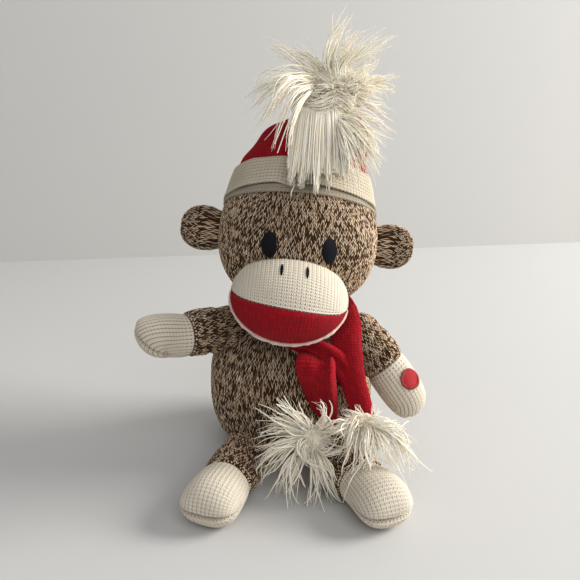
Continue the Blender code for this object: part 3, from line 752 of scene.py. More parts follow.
def root_outline(root, swell, seam_at, seam):
    """The tube's half outline, as (radius, distance): a ball, a swell and the tuck at the seam."""
    ball = [(root * cos(turn), root * sin(turn)) for turn in np.linspace(-pi / 2, 0, 6)]
    ball[0] = (0.0, -root)
    return ball + [(swell, seam_at * 0.5), (seam * 1.02, seam_at - 0.003), (seam, seam_at - 0.0010),
                   (seam - 0.0012, seam_at + 0.0002)]


# Body and head covers, each a front and a back panel


def make_round_cover(part, cover_form, round_half, length, slot_node, body, on_floor=False):
    """The marl cover of the body or head, as a front panel and a back panel."""
    wales = round(round_half / MARL_WALE)
    courses = round(length / MARL_COURSE)
    for side, first, nodes in (("front", -pi / 2, (slot_node,)), ("back", pi / 2, ())):
        name = part + "_" + side
        mesh = knit(name, cover_form(first, first + pi), wales, courses, on_floor=on_floor)
        finished(name, mesh, "brown_knit", body, *nodes)


def make_body():
    round_half = pi * (BODY_HIGH.x - BODY_LOW.x) / 2
    make_round_cover("body", body_form, round_half, BODY_COVER_LENGTH, "body_cover", "torso", on_floor=True)


def make_head():
    make_round_cover("head", head_form, pi * HEAD_RADIUS, HEAD_COVER_LENGTH, "head_cover", "head")


# Muzzle: wales run from the head down over the front, and close in at the corners


def muzzle_point(x_share, rise):
    """A place on the muzzle's egg: rise is 0 in front, a quarter turn on top."""
    small = np.sqrt(np.maximum(1 - x_share ** 2, 0))
    points = np.stack([
        MUZZLE_CENTRE.x + MUZZLE_HALF.x * x_share,
        MUZZLE_CENTRE.y - MUZZLE_HALF.y * small * np.cos(rise),
        MUZZLE_CENTRE.z + MUZZLE_HALF.z * small * np.sin(rise)], 1)
    return moved(points, HEAD)


def mouth_rise(x_share):
    """Where the mouth line crosses a wale."""
    small = np.sqrt(np.maximum(1 - x_share ** 2, 1e-6))
    height = MOUTH_HEIGHT - x_share * MUZZLE_HALF.x * np.tan(MOUTH_ROLL) - MOUTH_DROP * x_share ** 2
    wavy = 0.00018 * np.sin(x_share * 95)
    return np.maximum(np.arcsin(np.clip((height + wavy) / (MUZZLE_HALF.z * small), -1, 1)), CHIN_SEAM)


def chin_rise(x_share):
    """Where the red panel's lower seam crosses a wale."""
    return np.full(len(x_share), CHIN_SEAM)


def behind_above(x_share):
    """Where the upper panel meets the chin behind, inside the head."""
    return np.full(len(x_share), pi)


def behind_below(x_share):
    """The same line, come to from below."""
    return np.full(len(x_share), -pi)


def muzzle_panel(low, high, puff):
    """A panel between two lines, as a form; puff rounds it between its seams."""

    def form(across, up):
        x_share = np.sin((across * 2 - 1) * MUZZLE_TURN)
        first, last = low(x_share), high(x_share)
        rise = first + (last - first) * up
        points = muzzle_point(x_share, rise)
        centre = np.array(HEAD @ MUZZLE_CENTRE)
        round_it = 1 + puff * (np.clip(4 * up * (1 - up), 0, 1) ** 0.35 - 1)
        points = centre + (points - centre) * round_it[:, None]
        return push_out(points, NECK, THROAT_RADIUS)

    return form


def make_muzzle():
    red = muzzle_panel(chin_rise, mouth_rise, 0.012)
    make_muzzle_panel("muzzle_upper_panel", muzzle_panel(mouth_rise, behind_above, 0.010), 40, 42, "cream_knit",
                      "muzzle_upper", RELIEF)
    make_muzzle_panel("mouth_panel", red, 50, 22, "red_knit", "mouth", FINE_RELIEF)
    make_piping(red)
    make_muzzle_panel("chin_panel", muzzle_panel(behind_below, chin_rise, 0.02), 40, 30, "cream_knit",
                      "muzzle_chin", RELIEF)


def make_muzzle_panel(name, form, wales, courses, slot, node, relief):
    mesh = knit(name, form, wales, courses, relief=relief)
    finished(name, mesh, slot, "head", node)


def make_piping(red_form):
    """The fuzzy cord in the seam round the red panel, from corner to corner of the mouth."""
    centre = np.array(HEAD @ MUZZLE_CENTRE)
    edge = red_form(np.linspace(0.055, 0.950, 60), np.zeros(60))
    ends = red_form(np.array([0.050, 0.953]), np.ones(2))
    edge = np.vstack([ends[:1], edge, ends[1:]])
    route = Route(edge + unit(edge - centre) * PIPING_RADIUS * 0.55)
    swell = lumps(0.004, 0.16, 8)

    def radius(share):
        uneven = 1 + swell(np.stack([share * route.length, share * 0, share * 0], 1))
        thin = 0.62 + 0.38 * np.sin(share * pi)
        return PIPING_RADIUS * uneven * thin * closed_ends(share, 0.02)

    form = tube_form(route, radius, radius, still((0, 1, 0)))
    mesh = knit("mouth_cord", form, 4, 120, relief=0.00035)
    finished("mouth_cord", mesh, "cream_yarn", "head", "mouth_piping", finish="piping_yarn")


# Face


def satin_oval(name, place, facing, half, proud, slot, body, node, curve, ragged):
    """A raised oval of upright satin stitch; curve is how sharply the cover bends away across and up."""
    spokes = 72
    rings = 14
    mesh, across, up = flat_grid(name, spokes, rings)
    turn = across * 2 * pi
    reach = np.sin(up * pi / 2)
    out = Vector(facing).normalized()
    high = (Vector((0, 0, 1)) - out * out.z).normalized()
    wide = high.cross(out)
    uneven = 1 + ragged * np.where((across * spokes % 2) < 0.5, 1.0, -0.4) * (up > 0.99)
    x = half[0] * reach * np.cos(turn) * uneven
    y = half[1] * reach * np.sin(turn) * uneven
    lift = proud * np.sqrt(1 - reach ** 2) * np.where(reach > 0.995, 0, 1)
    bend = -(x ** 2 * curve[0] + y ** 2 * curve[1]) / 2
    points = np.array(place) + np.outer(x, wide) + np.outer(y, high) + np.outer(lift + bend, out)
    map_points(mesh, "thread", x / THREAD, y / THREAD)
    map_points(mesh, "OFBake", 0.5 + x / half[0] / 2.3, 0.5 + y / half[1] / 2.3)
    mesh.vertices.foreach_set("co", points.ravel())
    close_up(mesh)
    mean = sum((face.normal * face.area for face in mesh.polygons), Vector())
    if mean.dot(out) < 0:
        close_up(mesh, turn_over=True)
    finished(name, mesh, slot, body, node)


def make_face():
    for side, name in ((-1, "eye_right"), (1, "eye_left")):
        out = Vector((side * EYE_APART, 0, EYE_ABOVE))
        out.y = -sqrt(HEAD_RADIUS ** 2 - out.length_squared)
        out.normalize()
        place = HEAD @ (out * (HEAD_RADIUS + 0.0002))
        satin_oval(name + "_stitching", place, HEAD.to_3x3() @ out, EYE_HALF, EYE_PROUD, "black_thread", "head",
                   name, (1 / HEAD_RADIUS, 1 / HEAD_RADIUS), 0.06)
    for side, name in ((-1, "nostril_right"), (1, "nostril_left")):
        make_nostril(side * NOSTRIL_APART + NOSTRIL_ASIDE, name)


def make_nostril(x, name):
    """Two stitches side by side, bowed apart and sunk a little at their ends."""
    lines = []
    for bow in (-0.00044, 0.00048):
        line = []
        for along in np.linspace(-1, 1, 9):
            x_share = (x + bow * (1 - along ** 2) - MUZZLE_CENTRE.x) / MUZZLE_HALF.x
            rise = NOSTRIL_RISE - along * NOSTRIL_HALF_TURN
            spot = Vector(muzzle_point(np.array([x_share]), np.array([rise]))[0])
            out = (spot - HEAD @ MUZZLE_CENTRE).normalized()
            line.append(spot + out * (0.0001 + 0.0003 * (1 - along ** 4)))
        lines.append(line)
    strands_piece(name + "_stitches", np.array(lines), NOSTRIL_THREAD, "black_thread", "head", taper=0.15,
                  nodes=(name,))


# Loose yarn


def strands_piece(name, lines, radius, slot, body, taper=0.8, nodes=(), finish=None):
    """Thin tapered strands, one spline for each line of places."""
    curve = bpy.data.curves.new(name, "CURVE")
    curve.dimensions = "3D"
    curve.bevel_depth = radius
    curve.bevel_resolution = 0
    curve.use_fill_caps = True
    for line in lines:
        spline = curve.splines.new("POLY")
        spline.points.add(len(line) - 1)
        spots = np.column_stack([line, np.ones(len(line))])
        spline.points.foreach_set("co", spots.ravel())
        share = np.linspace(0, 1, len(line))
        spline.points.foreach_set("radius", (1 - taper * share ** 2) * RANDOM.uniform(0.7, 1.25))
    holder = bpy.data.objects.new(name + "_line", curve)
    bpy.context.scene.collection.objects.link(holder)
    bpy.context.view_layer.update()
    mesh = bpy.data.meshes.new_from_object(holder.evaluated_get(bpy.context.evaluated_depsgraph_get()))
    bpy.data.objects.remove(holder, do_unlink=True)
    mesh.name = name
    if slot in ("black_thread", "red_thread"):
        spots = points_of(mesh)
        map_points(mesh, "thread", spots[:, 0] / THREAD, spots[:, 2] / THREAD)
    return finished(name, mesh, slot, body, *nodes, finish=finish)


def tufts(roots, ways, lengths, each, spread, droop, curl, steps=9, keep_off=(), tip_close=0.3):
    """Lines of strands in tufts: each tuft bends under its weight and its strands draw together."""
    count = len(roots)
    way = unit(np.array(ways, float))
    spot = np.array(roots, float)
    side = unit(RANDOM.normal(size=(count, 3)))
    guide = [spot]
    step = np.array(lengths)[:, None] / steps
    for i in range(steps):
        way = unit(way + np.array((0, 0, -1)) * droop * step / 0.01 + side * curl * step / 0.01
                   * np.sin(i / steps * 5 + np.arange(count)[:, None]))
        spot = spot + way * step
        for centre, radius in keep_off:
            spot = push_out(spot, centre, radius)
        spot[:, 2] = np.maximum(spot[:, 2], YARN_FLOOR)
        guide.append(spot)
    guide = np.stack(guide, 1)
    share = np.linspace(0, 1, steps + 1)[None, :, None]
    lines = []
    for _ in range(each):
        offset = RANDOM.normal(size=(count, 1, 3)) * spread
        wander = RANDOM.normal(size=(count, 1, 3)) * spread * 0.9
        gather = 1 - (1 - tip_close) * share
        line = guide + offset * gather + wander * share * np.sin(share * 3.0)
        line[:, :, 2] = np.maximum(line[:, :, 2], 0.0006)
        lines.append(line)
    return np.concatenate(lines)


# Ears


def ear_form(side):
    """A flat round ear, dished in the middle, with its root in the head."""
    root = EAR_OUT - EAR_ROOT_DEPTH
    soft = lumps(0.02, 0.0003, 20 + side)

    def form(across, up):
        turn = 2 * pi * across
        rise = np.clip(up * 1.25 - 0.25, 0, 1) * pi / 2
        lead = np.clip(up / 0.2, 0, 1)
        x = root + EAR_ROOT_DEPTH * lead + EAR_RADIUS * np.sin(rise)
        tall = EAR_RADIUS * (0.74 + 0.26 * np.sin(lead * pi / 2)) * np.cos(rise) ** 0.85
        deep = EAR_HALF_THICKNESS * (0.75 + 0.25 * lead) * np.cos(rise) ** 0.6
        dish = 1 - 0.30 * np.exp(-((x - EAR_OUT) / 0.006) ** 2) * np.abs(np.sin(turn))
        points = np.stack([side * x, deep * dish * np.sin(turn), tall * np.cos(turn) + EAR_ABOVE], 1)
        return moved(points + soft(points)[:, None] * 0.5, HEAD)

    return form


def make_ears():
    courses = round((EAR_ROOT_DEPTH + EAR_RADIUS + 0.004) / MARL_COURSE)
    for side, name in ((-1, "ear_right"), (1, "ear_left")):
        mesh = knit(name + "_cover", ear_form(side), EAR_WALES, courses)
        finished(name + "_cover", mesh, "brown_knit", "head", name)


# Hat


def round_hat(radius, turn, height):
    """Places in metres from round the hat's axis."""
    return moved(np.stack([radius * np.sin(turn), -radius * np.cos(turn), height], 1), HAT)


def cuff_outer_form(across, up):
    """The outer layer: its lower edge stands off the head, but where the tack holds it down."""
    turn = up * 2 * pi
    rise = 1 - across
    near_tack = np.abs((turn - TACK_TURN + pi) % (2 * pi) - pi)
    lift = np.sin(np.clip(near_tack / 0.30, 0, 1) * pi / 2)
    low = CUFF_LOW + CUFF_LIFT * lift * np.exp(-near_tack ** 2)
    height = low + (CUFF_HIGH - low) * rise
    radius = CUFF_RADIUS + (CUFF_TOP_RADIUS - CUFF_RADIUS) * rise
    radius = radius + CUFF_FLARE * np.exp(-rise / 0.16) * lift + 0.0008 * np.sin(rise * pi)
    radius = radius - CUFF_FLARE * np.clip(1 - rise / 0.04, 0, 1) ** 2
    radius = radius - CUFF_FOLD * np.clip((rise - 0.93) / 0.07, 0, 1) ** 2
    wavy = 0.0003 * np.sin(turn * 7 + 1) + 0.0002 * np.sin(turn * 13)
    return round_hat(radius + wavy, turn, height)


def cuff_lining_form(across, up):
    """The inner layer, which lies on the head and shows below the outer one."""
    rise = 1 - across
    height = CUFF_LOW - LINING_BELOW + LINING_WIDTH * rise
    on_head = np.sqrt((HEAD_RADIUS + 0.0012) ** 2 - height ** 2)
    return round_hat(on_head - 0.0009 * np.clip(1 - rise / 0.08, 0, 1) ** 2, up * 2 * pi, height)


# Painted shade laid evenly over the lining, which lies in the shadow of the outer layer.
def lining_shade(across, up):
    return np.full(len(up), 0.50)


def make_cuff():
    """The folded cuff, its lining, and the yarn that tacks it down in front."""
    courses = round(2 * pi * CUFF_RADIUS / CUFF_COURSE)
    mesh = knit("cuff_outer", cuff_outer_form, 9, courses)
    finished("cuff_outer", mesh, "cream_knit", "head", "hat_cuff", finish="cuff_knit")
    mesh = knit("cuff_lining", cuff_lining_form, 4, courses, shade_paint=lining_shade)
    finished("cuff_lining", mesh, "cream_knit", "head", finish="cuff_knit")
    make_tack()


def make_tack():
    """The tack's stitch over the cuff's edge, and its loose end."""
    low = CUFF_LOW + CUFF_LIFT
    out = CUFF_RADIUS + 0.0012
    stitch = [on_cuff(low + 0.0008 * i, CUFF_RADIUS + 0.0012 * sin(pi * i / 6), 0.0001 * i) for i in range(7)]
    loose = [on_cuff(low + 0.0004 - 0.0014 * i, out + 0.00035 * i, 0.0006 * sin(i * 0.8)) for i in range(8)]
    strands_piece("tack_yarn", [np.array(stitch), np.array(loose)], TACK_YARN, "cream_yarn", "head", taper=0.35)


def on_cuff(height, radius, aside):
    """A place on the cuff, beside its tack."""
    angle = TACK_TURN + aside / radius
    return HAT @ Vector((radius * sin(angle), -radius * cos(angle), height))


def crown_form():
    """The red cone, sheared so that its tip leans over to the tassel."""
    tip = HAT.inverted() @ (TASSEL - Vector((0, 0, CROWN_TIP_DROP)))
    base = CUFF_HIGH - CROWN_TUCK
    outline = Route([(CROWN_TIP_RADIUS + (CROWN_RADIUS - CROWN_TIP_RADIUS) * wide, base + up * (tip.z - base))
                     for wide, up in CROWN_SHARES])
    soft = lumps(0.035, 0.0011, 31)

    def form(across, up):
        turn = across * 2 * pi
        radius, height = outline.at(up).T
        share = (height - base) / (tip.z - base)
        radius = radius + 0.0010 * np.sin(share * pi * 5 + 1.5 * np.sin(turn)) * np.sin(share * pi)
        points = np.stack([
            radius * np.sin(turn) + tip.x * share - CROWN_BULGE * np.sin(share * pi),
            -radius * np.cos(turn) + tip.y * share, height], 1)
        points = moved(points, HAT)
        return points + unit(points - np.array(HEAD.translation)) * soft(points)[:, None]

    return form


def make_crown():
    mesh = knit("crown", crown_form(), CROWN_WALES, CROWN_COURSES, relief=FINE_RELIEF)
    finished("crown", mesh, "red_knit", "head", "hat_crown")


# Tassel: its skirt hangs down the hat's front from a bound root, and its spray stands up

TASSEL_CENTRE = np.array(TASSEL)
TASSEL_ROOT = np.array((0.0165, -0.0100, 0.2205))
SKIRT_FALL = unit(np.array([(-0.03, -0.68, -0.74)]))[0]
SKIRT_WIDE = np.array((0.97, -0.10, 0.0))
SKIRT_DEEP = np.cross(SKIRT_FALL, SKIRT_WIDE)


def make_tassel():
    make_skirt()
    yarn_core("tassel_skirt_heart", skirt_heart_form, 60, 24, 0.0007, "tassel")
    heart = ball_form(TASSEL_CENTRE + (-0.0030, -0.0045, 0.0005), (0.0125, 0.0095, 0.0105), 2.6)
    yarn_core("tassel_heart", heart, 34, 26, 0.0018, "tassel")
    make_spray()
    make_wrap()


def make_skirt():
    """The hanging strands, drawn together into locks with uneven ends."""
    locks = RANDOM.uniform(-1, 1, SKIRT_LOCKS)
    lengths = RANDOM.uniform(0.044, 0.0560, SKIRT_LOCKS) - 0.006 * np.abs(locks) ** 3
    share = np.linspace(0, 1, 9)[:, None]
    strands = []
    for _ in range(SKIRT_STRANDS):
        a = RANDOM.uniform(-1, 1)
        b = RANDOM.uniform(-1, 1) * sqrt(1 - a * a * 0.8)
        near = int(np.argmin(np.abs(locks - a - RANDOM.normal() * 0.05)))
        drawn = a + (locks[near] - a) * RANDOM.uniform(0.15, 0.75)
        top = TASSEL_ROOT + SKIRT_WIDE * (a * 0.0140 + 0.0012) + SKIRT_DEEP * b * 0.0045
        tip = (TASSEL_ROOT + SKIRT_FALL * (lengths[near] - RANDOM.exponential(0.0022))
               + SKIRT_WIDE * drawn * 0.0182 + SKIRT_DEEP * (b * 0.0046 - 0.0012))
        middle = ((top + tip) / 2 + SKIRT_WIDE * (RANDOM.normal() * 0.0005 + (a - drawn) * 0.0020)
                  + SKIRT_DEEP * (b * 0.0046 - 0.0036))
        strands.append(top * (1 - share) * (1 - 2 * share) + middle * 4 * share * (1 - share)
                       + tip * share * (2 * share - 1))
    strands_piece("tassel_skirt_yarn", strands, STRAND * 0.85, "cream_yarn", "tassel", taper=0.5,
                  nodes=("tassel_skirt",))


def skirt_heart_form(across, up):
    """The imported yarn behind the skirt's strands."""
    turn = 2 * pi * across
    width = np.interp(up, (0, 0.08, 0.5, 0.9, 1), (0.0120, 0.0145, 0.0160, 0.0160, 0.0130))
    depth = np.interp(up, (0, 0.08, 0.8, 1), (0.0024, 0.0050, 0.0042, 0.0002))
    bow = -0.0036 * np.sin(pi * up)
    return (TASSEL_ROOT + np.outer(-0.001 + up * 0.0455, SKIRT_FALL) + np.outer(np.cos(turn) * width, SKIRT_WIDE)
            + np.outer(np.sin(turn) * depth + bow, SKIRT_DEEP))


def make_spray():
    """The strands that stand up from the root and fall to its sides, thick ones and fine ones."""
    strands_piece("tassel_locks", wisps(TASSEL_WISPS, 5, 0.0011, 0.0012), STRAND * 1.15, "cream_yarn", "tassel",
                  taper=0.5)
    lines = wisps(TASSEL_WISPS, 8, 0.0006, 0.0006) + wisps(TASSEL_WISPS, 5, 0.0019, 0.0018)
    lines += fluff(TASSEL_CENTRE + (-0.002, -0.008, 0.001), 300, 0.016, (1.0, 0.8, 0.8))
    lines += fluff(TASSEL_CENTRE + (0.008, -0.006, 0.000), 200, 0.014, (1.0, 0.9, 0.9))
    strands_piece("tassel_spray", lines, STRAND * 0.78, "cream_yarn", "tassel", taper=0.7,
                  nodes=("tassel_topknot",))


def make_wrap():
    """The yarn that is wound round the root."""
    wraps = []
    for _ in range(TASSEL_WRAPS):
        start = RANDOM.uniform(-pi, pi)
        turns = np.linspace(start, start + RANDOM.uniform(1.0, 2.6), 10)
        across = 0.0155 + RANDOM.normal() * 0.0018
        thick = 0.0092 + RANDOM.normal() * 0.0015
        wraps.append(TASSEL_ROOT + np.outer(np.sin(turns), SKIRT_WIDE) * across
                     + np.outer(np.cos(turns), (0, -0.75, 0.1)) * thick
                     + np.outer(np.sin(turns * 2.3 + start), (0, 0, 1)) * 0.0034
                     + np.outer(np.sin(turns * 3.7 + start), (0, 1, 0)) * 0.0016
                     + np.array((0.0030, 0.0024, 0.0026 + RANDOM.normal() * 0.0036)))
    strands_piece("tassel_wrap", wraps, STRAND * 0.8, "cream_yarn", "tassel", taper=0.4,
                  nodes=("tassel_binding",))


# Limbs


def make_arms():
    make_arm("right", wrist_at=0.0295, wrist=0.0134, swell=0.0141, hand=0.0127, seam_way=(0.31, -0.75, -0.60),
             soft_seed=41, sag=(0, 0, -0.0120), curl=(0, 0, 0.0135), slant=0.0022)
    make_arm("left", wrist_at=0.0250, wrist=0.0139, swell=0.0137, hand=0.0129, seam_way=(-0.76, -0.62, -0.20),
             soft_seed=42, sag=(0.0010, 0, 0.0010), curl=(-0.0060, 0, 0), slant=0.0)


def make_arm(side, wrist_at, wrist, swell, hand, seam_way, soft_seed, **bends):
    """A sleeve from the shoulder to the wrist, the hand beyond it, and the filling inside both."""
    outline = root_outline(ARM_ROOT, swell, wrist_at, wrist)
    limb = Limb("shoulder_" + side, "hand_" + side, seam_way, outline, ARM_LENGTH, hand, ARM_WIDEST_AT, 2.3,
                soft_seed, **bends)
    sleeve_wales = round(2 * pi * swell / MARL_WALE)
    sleeve_courses = round((wrist_at + SLEEVE_ROUND_ROOT) / MARL_COURSE)
    make_limb_pieces(limb, side, "arm", "sleeve", "hand", SLEEVE_WRINKLE, (sleeve_wales, sleeve_courses),
                     (round(2 * pi * swell / WALE), round((HAND_COVER_END - wrist_at) / COURSE)),
                     wrist_at, wrist, on_floor=False)


def make_legs():
    make_leg("right", seam_way=(1.0, -0.35, 0.0), length=0.0668, toe_shift=0.0020, soft_seed=51)
    make_leg("left", seam_way=(-1.0, -0.42, 0.0), length=0.0688, toe_shift=0.0, soft_seed=52)


def make_leg(side, seam_way, length, toe_shift, soft_seed):
    """A leg from the hip to the ankle, the foot beyond it, and the filling inside both."""
    outline = root_outline(LEG_ROOT, SHIN_RADIUS, ANKLE_AT, ANKLE_RADIUS)
    limb = Limb("hip_" + side, "foot_" + side, seam_way, outline, length, FOOT_RADIUS, FOOT_WIDEST_AT, 3.2,
                soft_seed, lowered=radians(9), curl=(toe_shift, 0, 0), height_share=LEG_HEIGHT_SHARE)
    round_leg = 2 * pi * FOOT_RADIUS
    make_limb_pieces(limb, side, "leg", "leg", "foot", LEG_WRINKLE,
                     (round(round_leg / MARL_WALE), round(LEG_COVER_LENGTH / MARL_COURSE)),
                     (round(round_leg / WALE), round(FOOT_COVER_LENGTH / COURSE)),
                     ANKLE_AT, ANKLE_RADIUS, on_floor=True)


def make_limb_pieces(limb, side, kind, cover, end, wrinkle, cover_gauge, end_gauge, seam_at, seam_radius,
                     on_floor):
    """The marl cover, the cream end and the filling; a gauge is a count of wales and of courses."""
    body = kind + "_" + side
    name = cover + "_" + side + "_cover"
    mesh = knit(name, limb.turned(limb.outline, wrinkle), *cover_gauge, on_floor=on_floor)
    finished(name, mesh, "brown_knit", body, cover + "_" + side)
    form, painted_shade = limb.end(seam_at, seam_radius)
    name = end + "_" + side + "_cover"
    mesh = knit(name, form, *end_gauge, on_floor=on_floor, shade_paint=painted_shade)
    piece = finished(name, mesh, "cream_knit", body, end + "_" + side, finish=end + "_knit")
    name = kind + "_filling_" + side
    mesh = knit(name, limb.turned(FILLING_OUTLINE), 12, 12, relief=FILLING_RELIEF, on_floor=on_floor)
    finished(name, mesh, "stuffing", body, kind + "_stuffing_" + side)


def make_patch():
    """The round patch of satin stitch on the left hand."""
    pivot = Vector(JOINTS["shoulder_left"]["pos_m"])
    along = Vector((0.62, -0.22, -0.75)).normalized()
    facing = Vector((0.17, -0.717, 0.669))
    facing = (facing - along * facing.dot(along)).normalized()
    place = pivot + along * PATCH_AT + facing * (HAND_RADIUS - 0.0003) + Vector((0.0002, 0, 0.0012))
    satin_oval("paw_patch_stitching", place, facing, (PATCH_RADIUS, PATCH_RADIUS), 0.0009, "red_thread",
               "arm_left", "paw_patch", (1 / HAND_RADIUS, 0), 0.03)
    make_patch_rim(np.array(place), np.array(along), np.array(facing))


def make_patch_rim(place, along, facing):
    """The raised ring of close stitches round the patch, each laid across its edge."""
    wide = np.cross(along, facing)
    stitches = []
    for turn in np.linspace(0, 2 * pi, PATCH_RIM_STITCHES, endpoint=False):
        out = wide * cos(turn) + along * sin(turn)
        stitch = []
        for share in np.linspace(-1, 1, 5):
            reach = PATCH_RADIUS + share * PATCH_RIM_HALF + RANDOM.normal() * 0.00006
            drop = (reach * cos(turn)) ** 2 / (2 * HAND_RADIUS)
            stitch.append(place + out * reach + facing * (0.0008 * (1 - share ** 2) - 0.0001 - drop))
        stitches.append(stitch)
    strands_piece("paw_patch_rim", np.array(stitches), PATCH_RIM_THREAD, "red_thread", "arm_left", taper=0.0,
                  finish="rim_thread")


# Scarf


def still(way):
    return lambda share: np.tile(np.array(way, float), (len(share), 1))


def turning(shares, ways):
    """A width direction that turns from one way to the next along a strap."""
    ways = np.array(ways, float)
    return lambda share: np.stack([np.interp(share, shares, part) for part in ways.T], 1)


def cut_width(form):
    """The width of a band when it is laid flat, from half the way round it."""
    turns = np.linspace(0, 1, 61)
    ways_round = [np.linalg.norm(np.diff(form(turns, np.full(61, share)), axis=0), axis=1).sum()
                  for share in np.linspace(0.05, 0.95, 19)]
    return float(np.mean(ways_round)) / 2


def strap(name, places, shares, halves, wide_way, folds, body, nodes, thickness=SCARF_HALF_THICKNESS, close=0.02):
    """A flat length of doubled knit along a line of places."""
    route = Route(places)
    form = tube_form(
        route, lambda share: np.interp(share, shares, halves) * closed_ends(share, close),
        lambda share: thickness * closed_ends(share, close), wide_way, folds)
    wales = round(4 * max(halves) / FINE_WALE)
    mesh = knit(name, form, wales, round(route.length / FINE_COURSE), relief=FINE_RELIEF)
    piece = finished(name, mesh, "red_knit", body, *nodes)
    cut_width(form)
    return piece


def make_scarf():
    ring = [(0.0285 * sin(turn), -0.0285 * cos(turn), 0.0955 + 0.0015 * sin(turn * 2))
            for turn in np.linspace(0.6, 0.6 + 1.86 * pi, 17)]
    strap("scarf_ring", ring, (0, 1), (0.0070, 0.0070), still((0, 0, 1)),
          lambda x, share: 0.0010 * np.sin(x * 2.2 + share * 21), "torso", ("scarf_neck_band",), 0.0030)

    across_chest = [(-0.0220, -0.0160, 0.0990), (-0.0140, -0.0330, 0.0960), (-0.0020, -0.0430, 0.0905),
                    (0.0110, -0.0480, 0.0870), (0.0230, -0.0510, 0.0805), (0.0315, -0.0525, 0.0725),
                    (0.0370, -0.0550, 0.0640), (0.0415, -0.0600, 0.0560)]
    strap("scarf_across", across_chest, (0, 0.3, 0.5, 0.7, 1), (0.0062, 0.0055, 0.0062, 0.0085, 0.0045),
          turning((0, 0.4, 0.62, 1), ((0.1, 0.25, 1.0), (0.0, 0.1, 1.0), (0.55, -0.1, 0.85), (1.0, -0.1, 0.2))),
          lambda x, share: 0.0009 * np.sin(x * 6.5 + share * 5) * (share > 0.3), None,
          ("scarf_knot",))

    down_left = [(0.0300, 0.0000, 0.1012), (0.0345, -0.0180, 0.1012), (0.0352, -0.0340, 0.0970),
                 (0.0335, -0.0470, 0.0890), (0.0345, -0.0520, 0.0775), (0.0375, -0.0555, 0.0660),
                 (0.0410, -0.0610, 0.0560), (0.0436, -0.0655, 0.0470), (0.0448, -0.0680, 0.0430)]
    strap("scarf_left", down_left, (0, 0.3, 0.45, 0.6, 0.75, 1), (0.0060, 0.0078, 0.0092, 0.0094, 0.0078, 0.0062),
          turning((0, 0.35, 0.5, 1), ((0.1, 0.4, 1.0), (0.6, 0.25, 0.6), (1.0, -0.15, 0.0), (1.0, -0.15, 0.1))),
          lambda x, share: (0.0012 * np.sin(x * 2.6 + 0.6) - 0.0010 * x ** 2) * (share > 0.25), None,
          ("scarf_lead", "scarf_tail_left"))
    bend_at_knot("scarf_across")
    bend_at_knot("scarf_left")

    down_right = [(0.0165, -0.0450, 0.0793), (0.0155, -0.0525, 0.0800), (0.0150, -0.0580, 0.0775),
                  (0.0156, -0.0588, 0.0705), (0.0178, -0.0566, 0.0612), (0.0205, -0.0556, 0.0522),
                  (0.0238, -0.0566, 0.0428), (0.0256, -0.0608, 0.0345)]
    strap("scarf_right", down_right, (0, 0.15, 0.38, 0.52, 0.70, 0.86, 1),
          (0.0105, 0.0118, 0.0116, 0.0108, 0.0086, 0.0050, 0.0026),
          turning((0, 0.26, 0.45, 1), ((1.0, -0.10, -0.24), (1.0, -0.12, -0.26), (1.0, -0.12, -0.15),
                                     (1.0, -0.12, -0.15))),
          lambda x, share: 0.0018 * np.sin(x * 2.4 + 0.8) * np.clip(share * 2, 0.2, 1)
          + 0.0028 * np.exp(-((x - 0.74) / 0.20) ** 2) - 0.0018 * np.exp(-((x - 0.20) / 0.32) ** 2),
          "tail_right", ("scarf_tail_right",))


def bend_at_knot(name):
    """Bakes a strap's placement into its mesh."""
    piece = bpy.data.objects[name]
    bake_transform(piece)


POM_RIGHT_WISPS = (
    ((14, -66, 38), (1, -74, 47), (-10, -75, 52), (-20, -72, 51)),
    ((13, -66, 37), (-4, -74, 46), (-12, -75, 46), (-19, -72, 42)),
    ((11, -66, 36), (0, -74, 39), (-10, -75, 37), (-23, -72, 28)),
    ((10, -66, 32), (0, -74, 35), (-11, -75, 31), (-21, -72, 18)),
    ((8, -66, 35), (0, -74, 33), (-8, -75, 24), (-17, -74, 10)),
    ((8, -66, 30), (1, -74, 26), (-3, -77, 17), (-6, -79, 4)),
    ((10, -66, 28), (5, -74, 22), (2, -78, 12), (1, -82, 2)),
    ((13, -66, 28), (14, -74, 22), (14, -79, 10), (11, -87, 2)),
    ((14, -66, 30), (16, -74, 24), (20, -79, 12), (25, -82, 2)),
    ((16, -66, 32), (20, -74, 25), (26, -78, 16), (34, -80, 5)),
    ((11, -66, 40), (5, -74, 52), (-1, -75, 59), (-8, -72, 63)),
    ((12, -66, 40), (7, -74, 51), (2, -75, 58), (-2, -72, 63)),
    ((15, -66, 40), (20, -74, 52), (19, -75, 59), (15, -72, 60)),
    ((18, -66, 36), (24, -74, 46), (30, -75, 46), (34, -72, 40)),
    ((15, -66, 32), (21, -74, 30), (28, -75, 32), (30, -72, 37)),
    ((13, -66, 36), (8, -76, 34), (10, -80, 26), (20, -80, 22)),
)
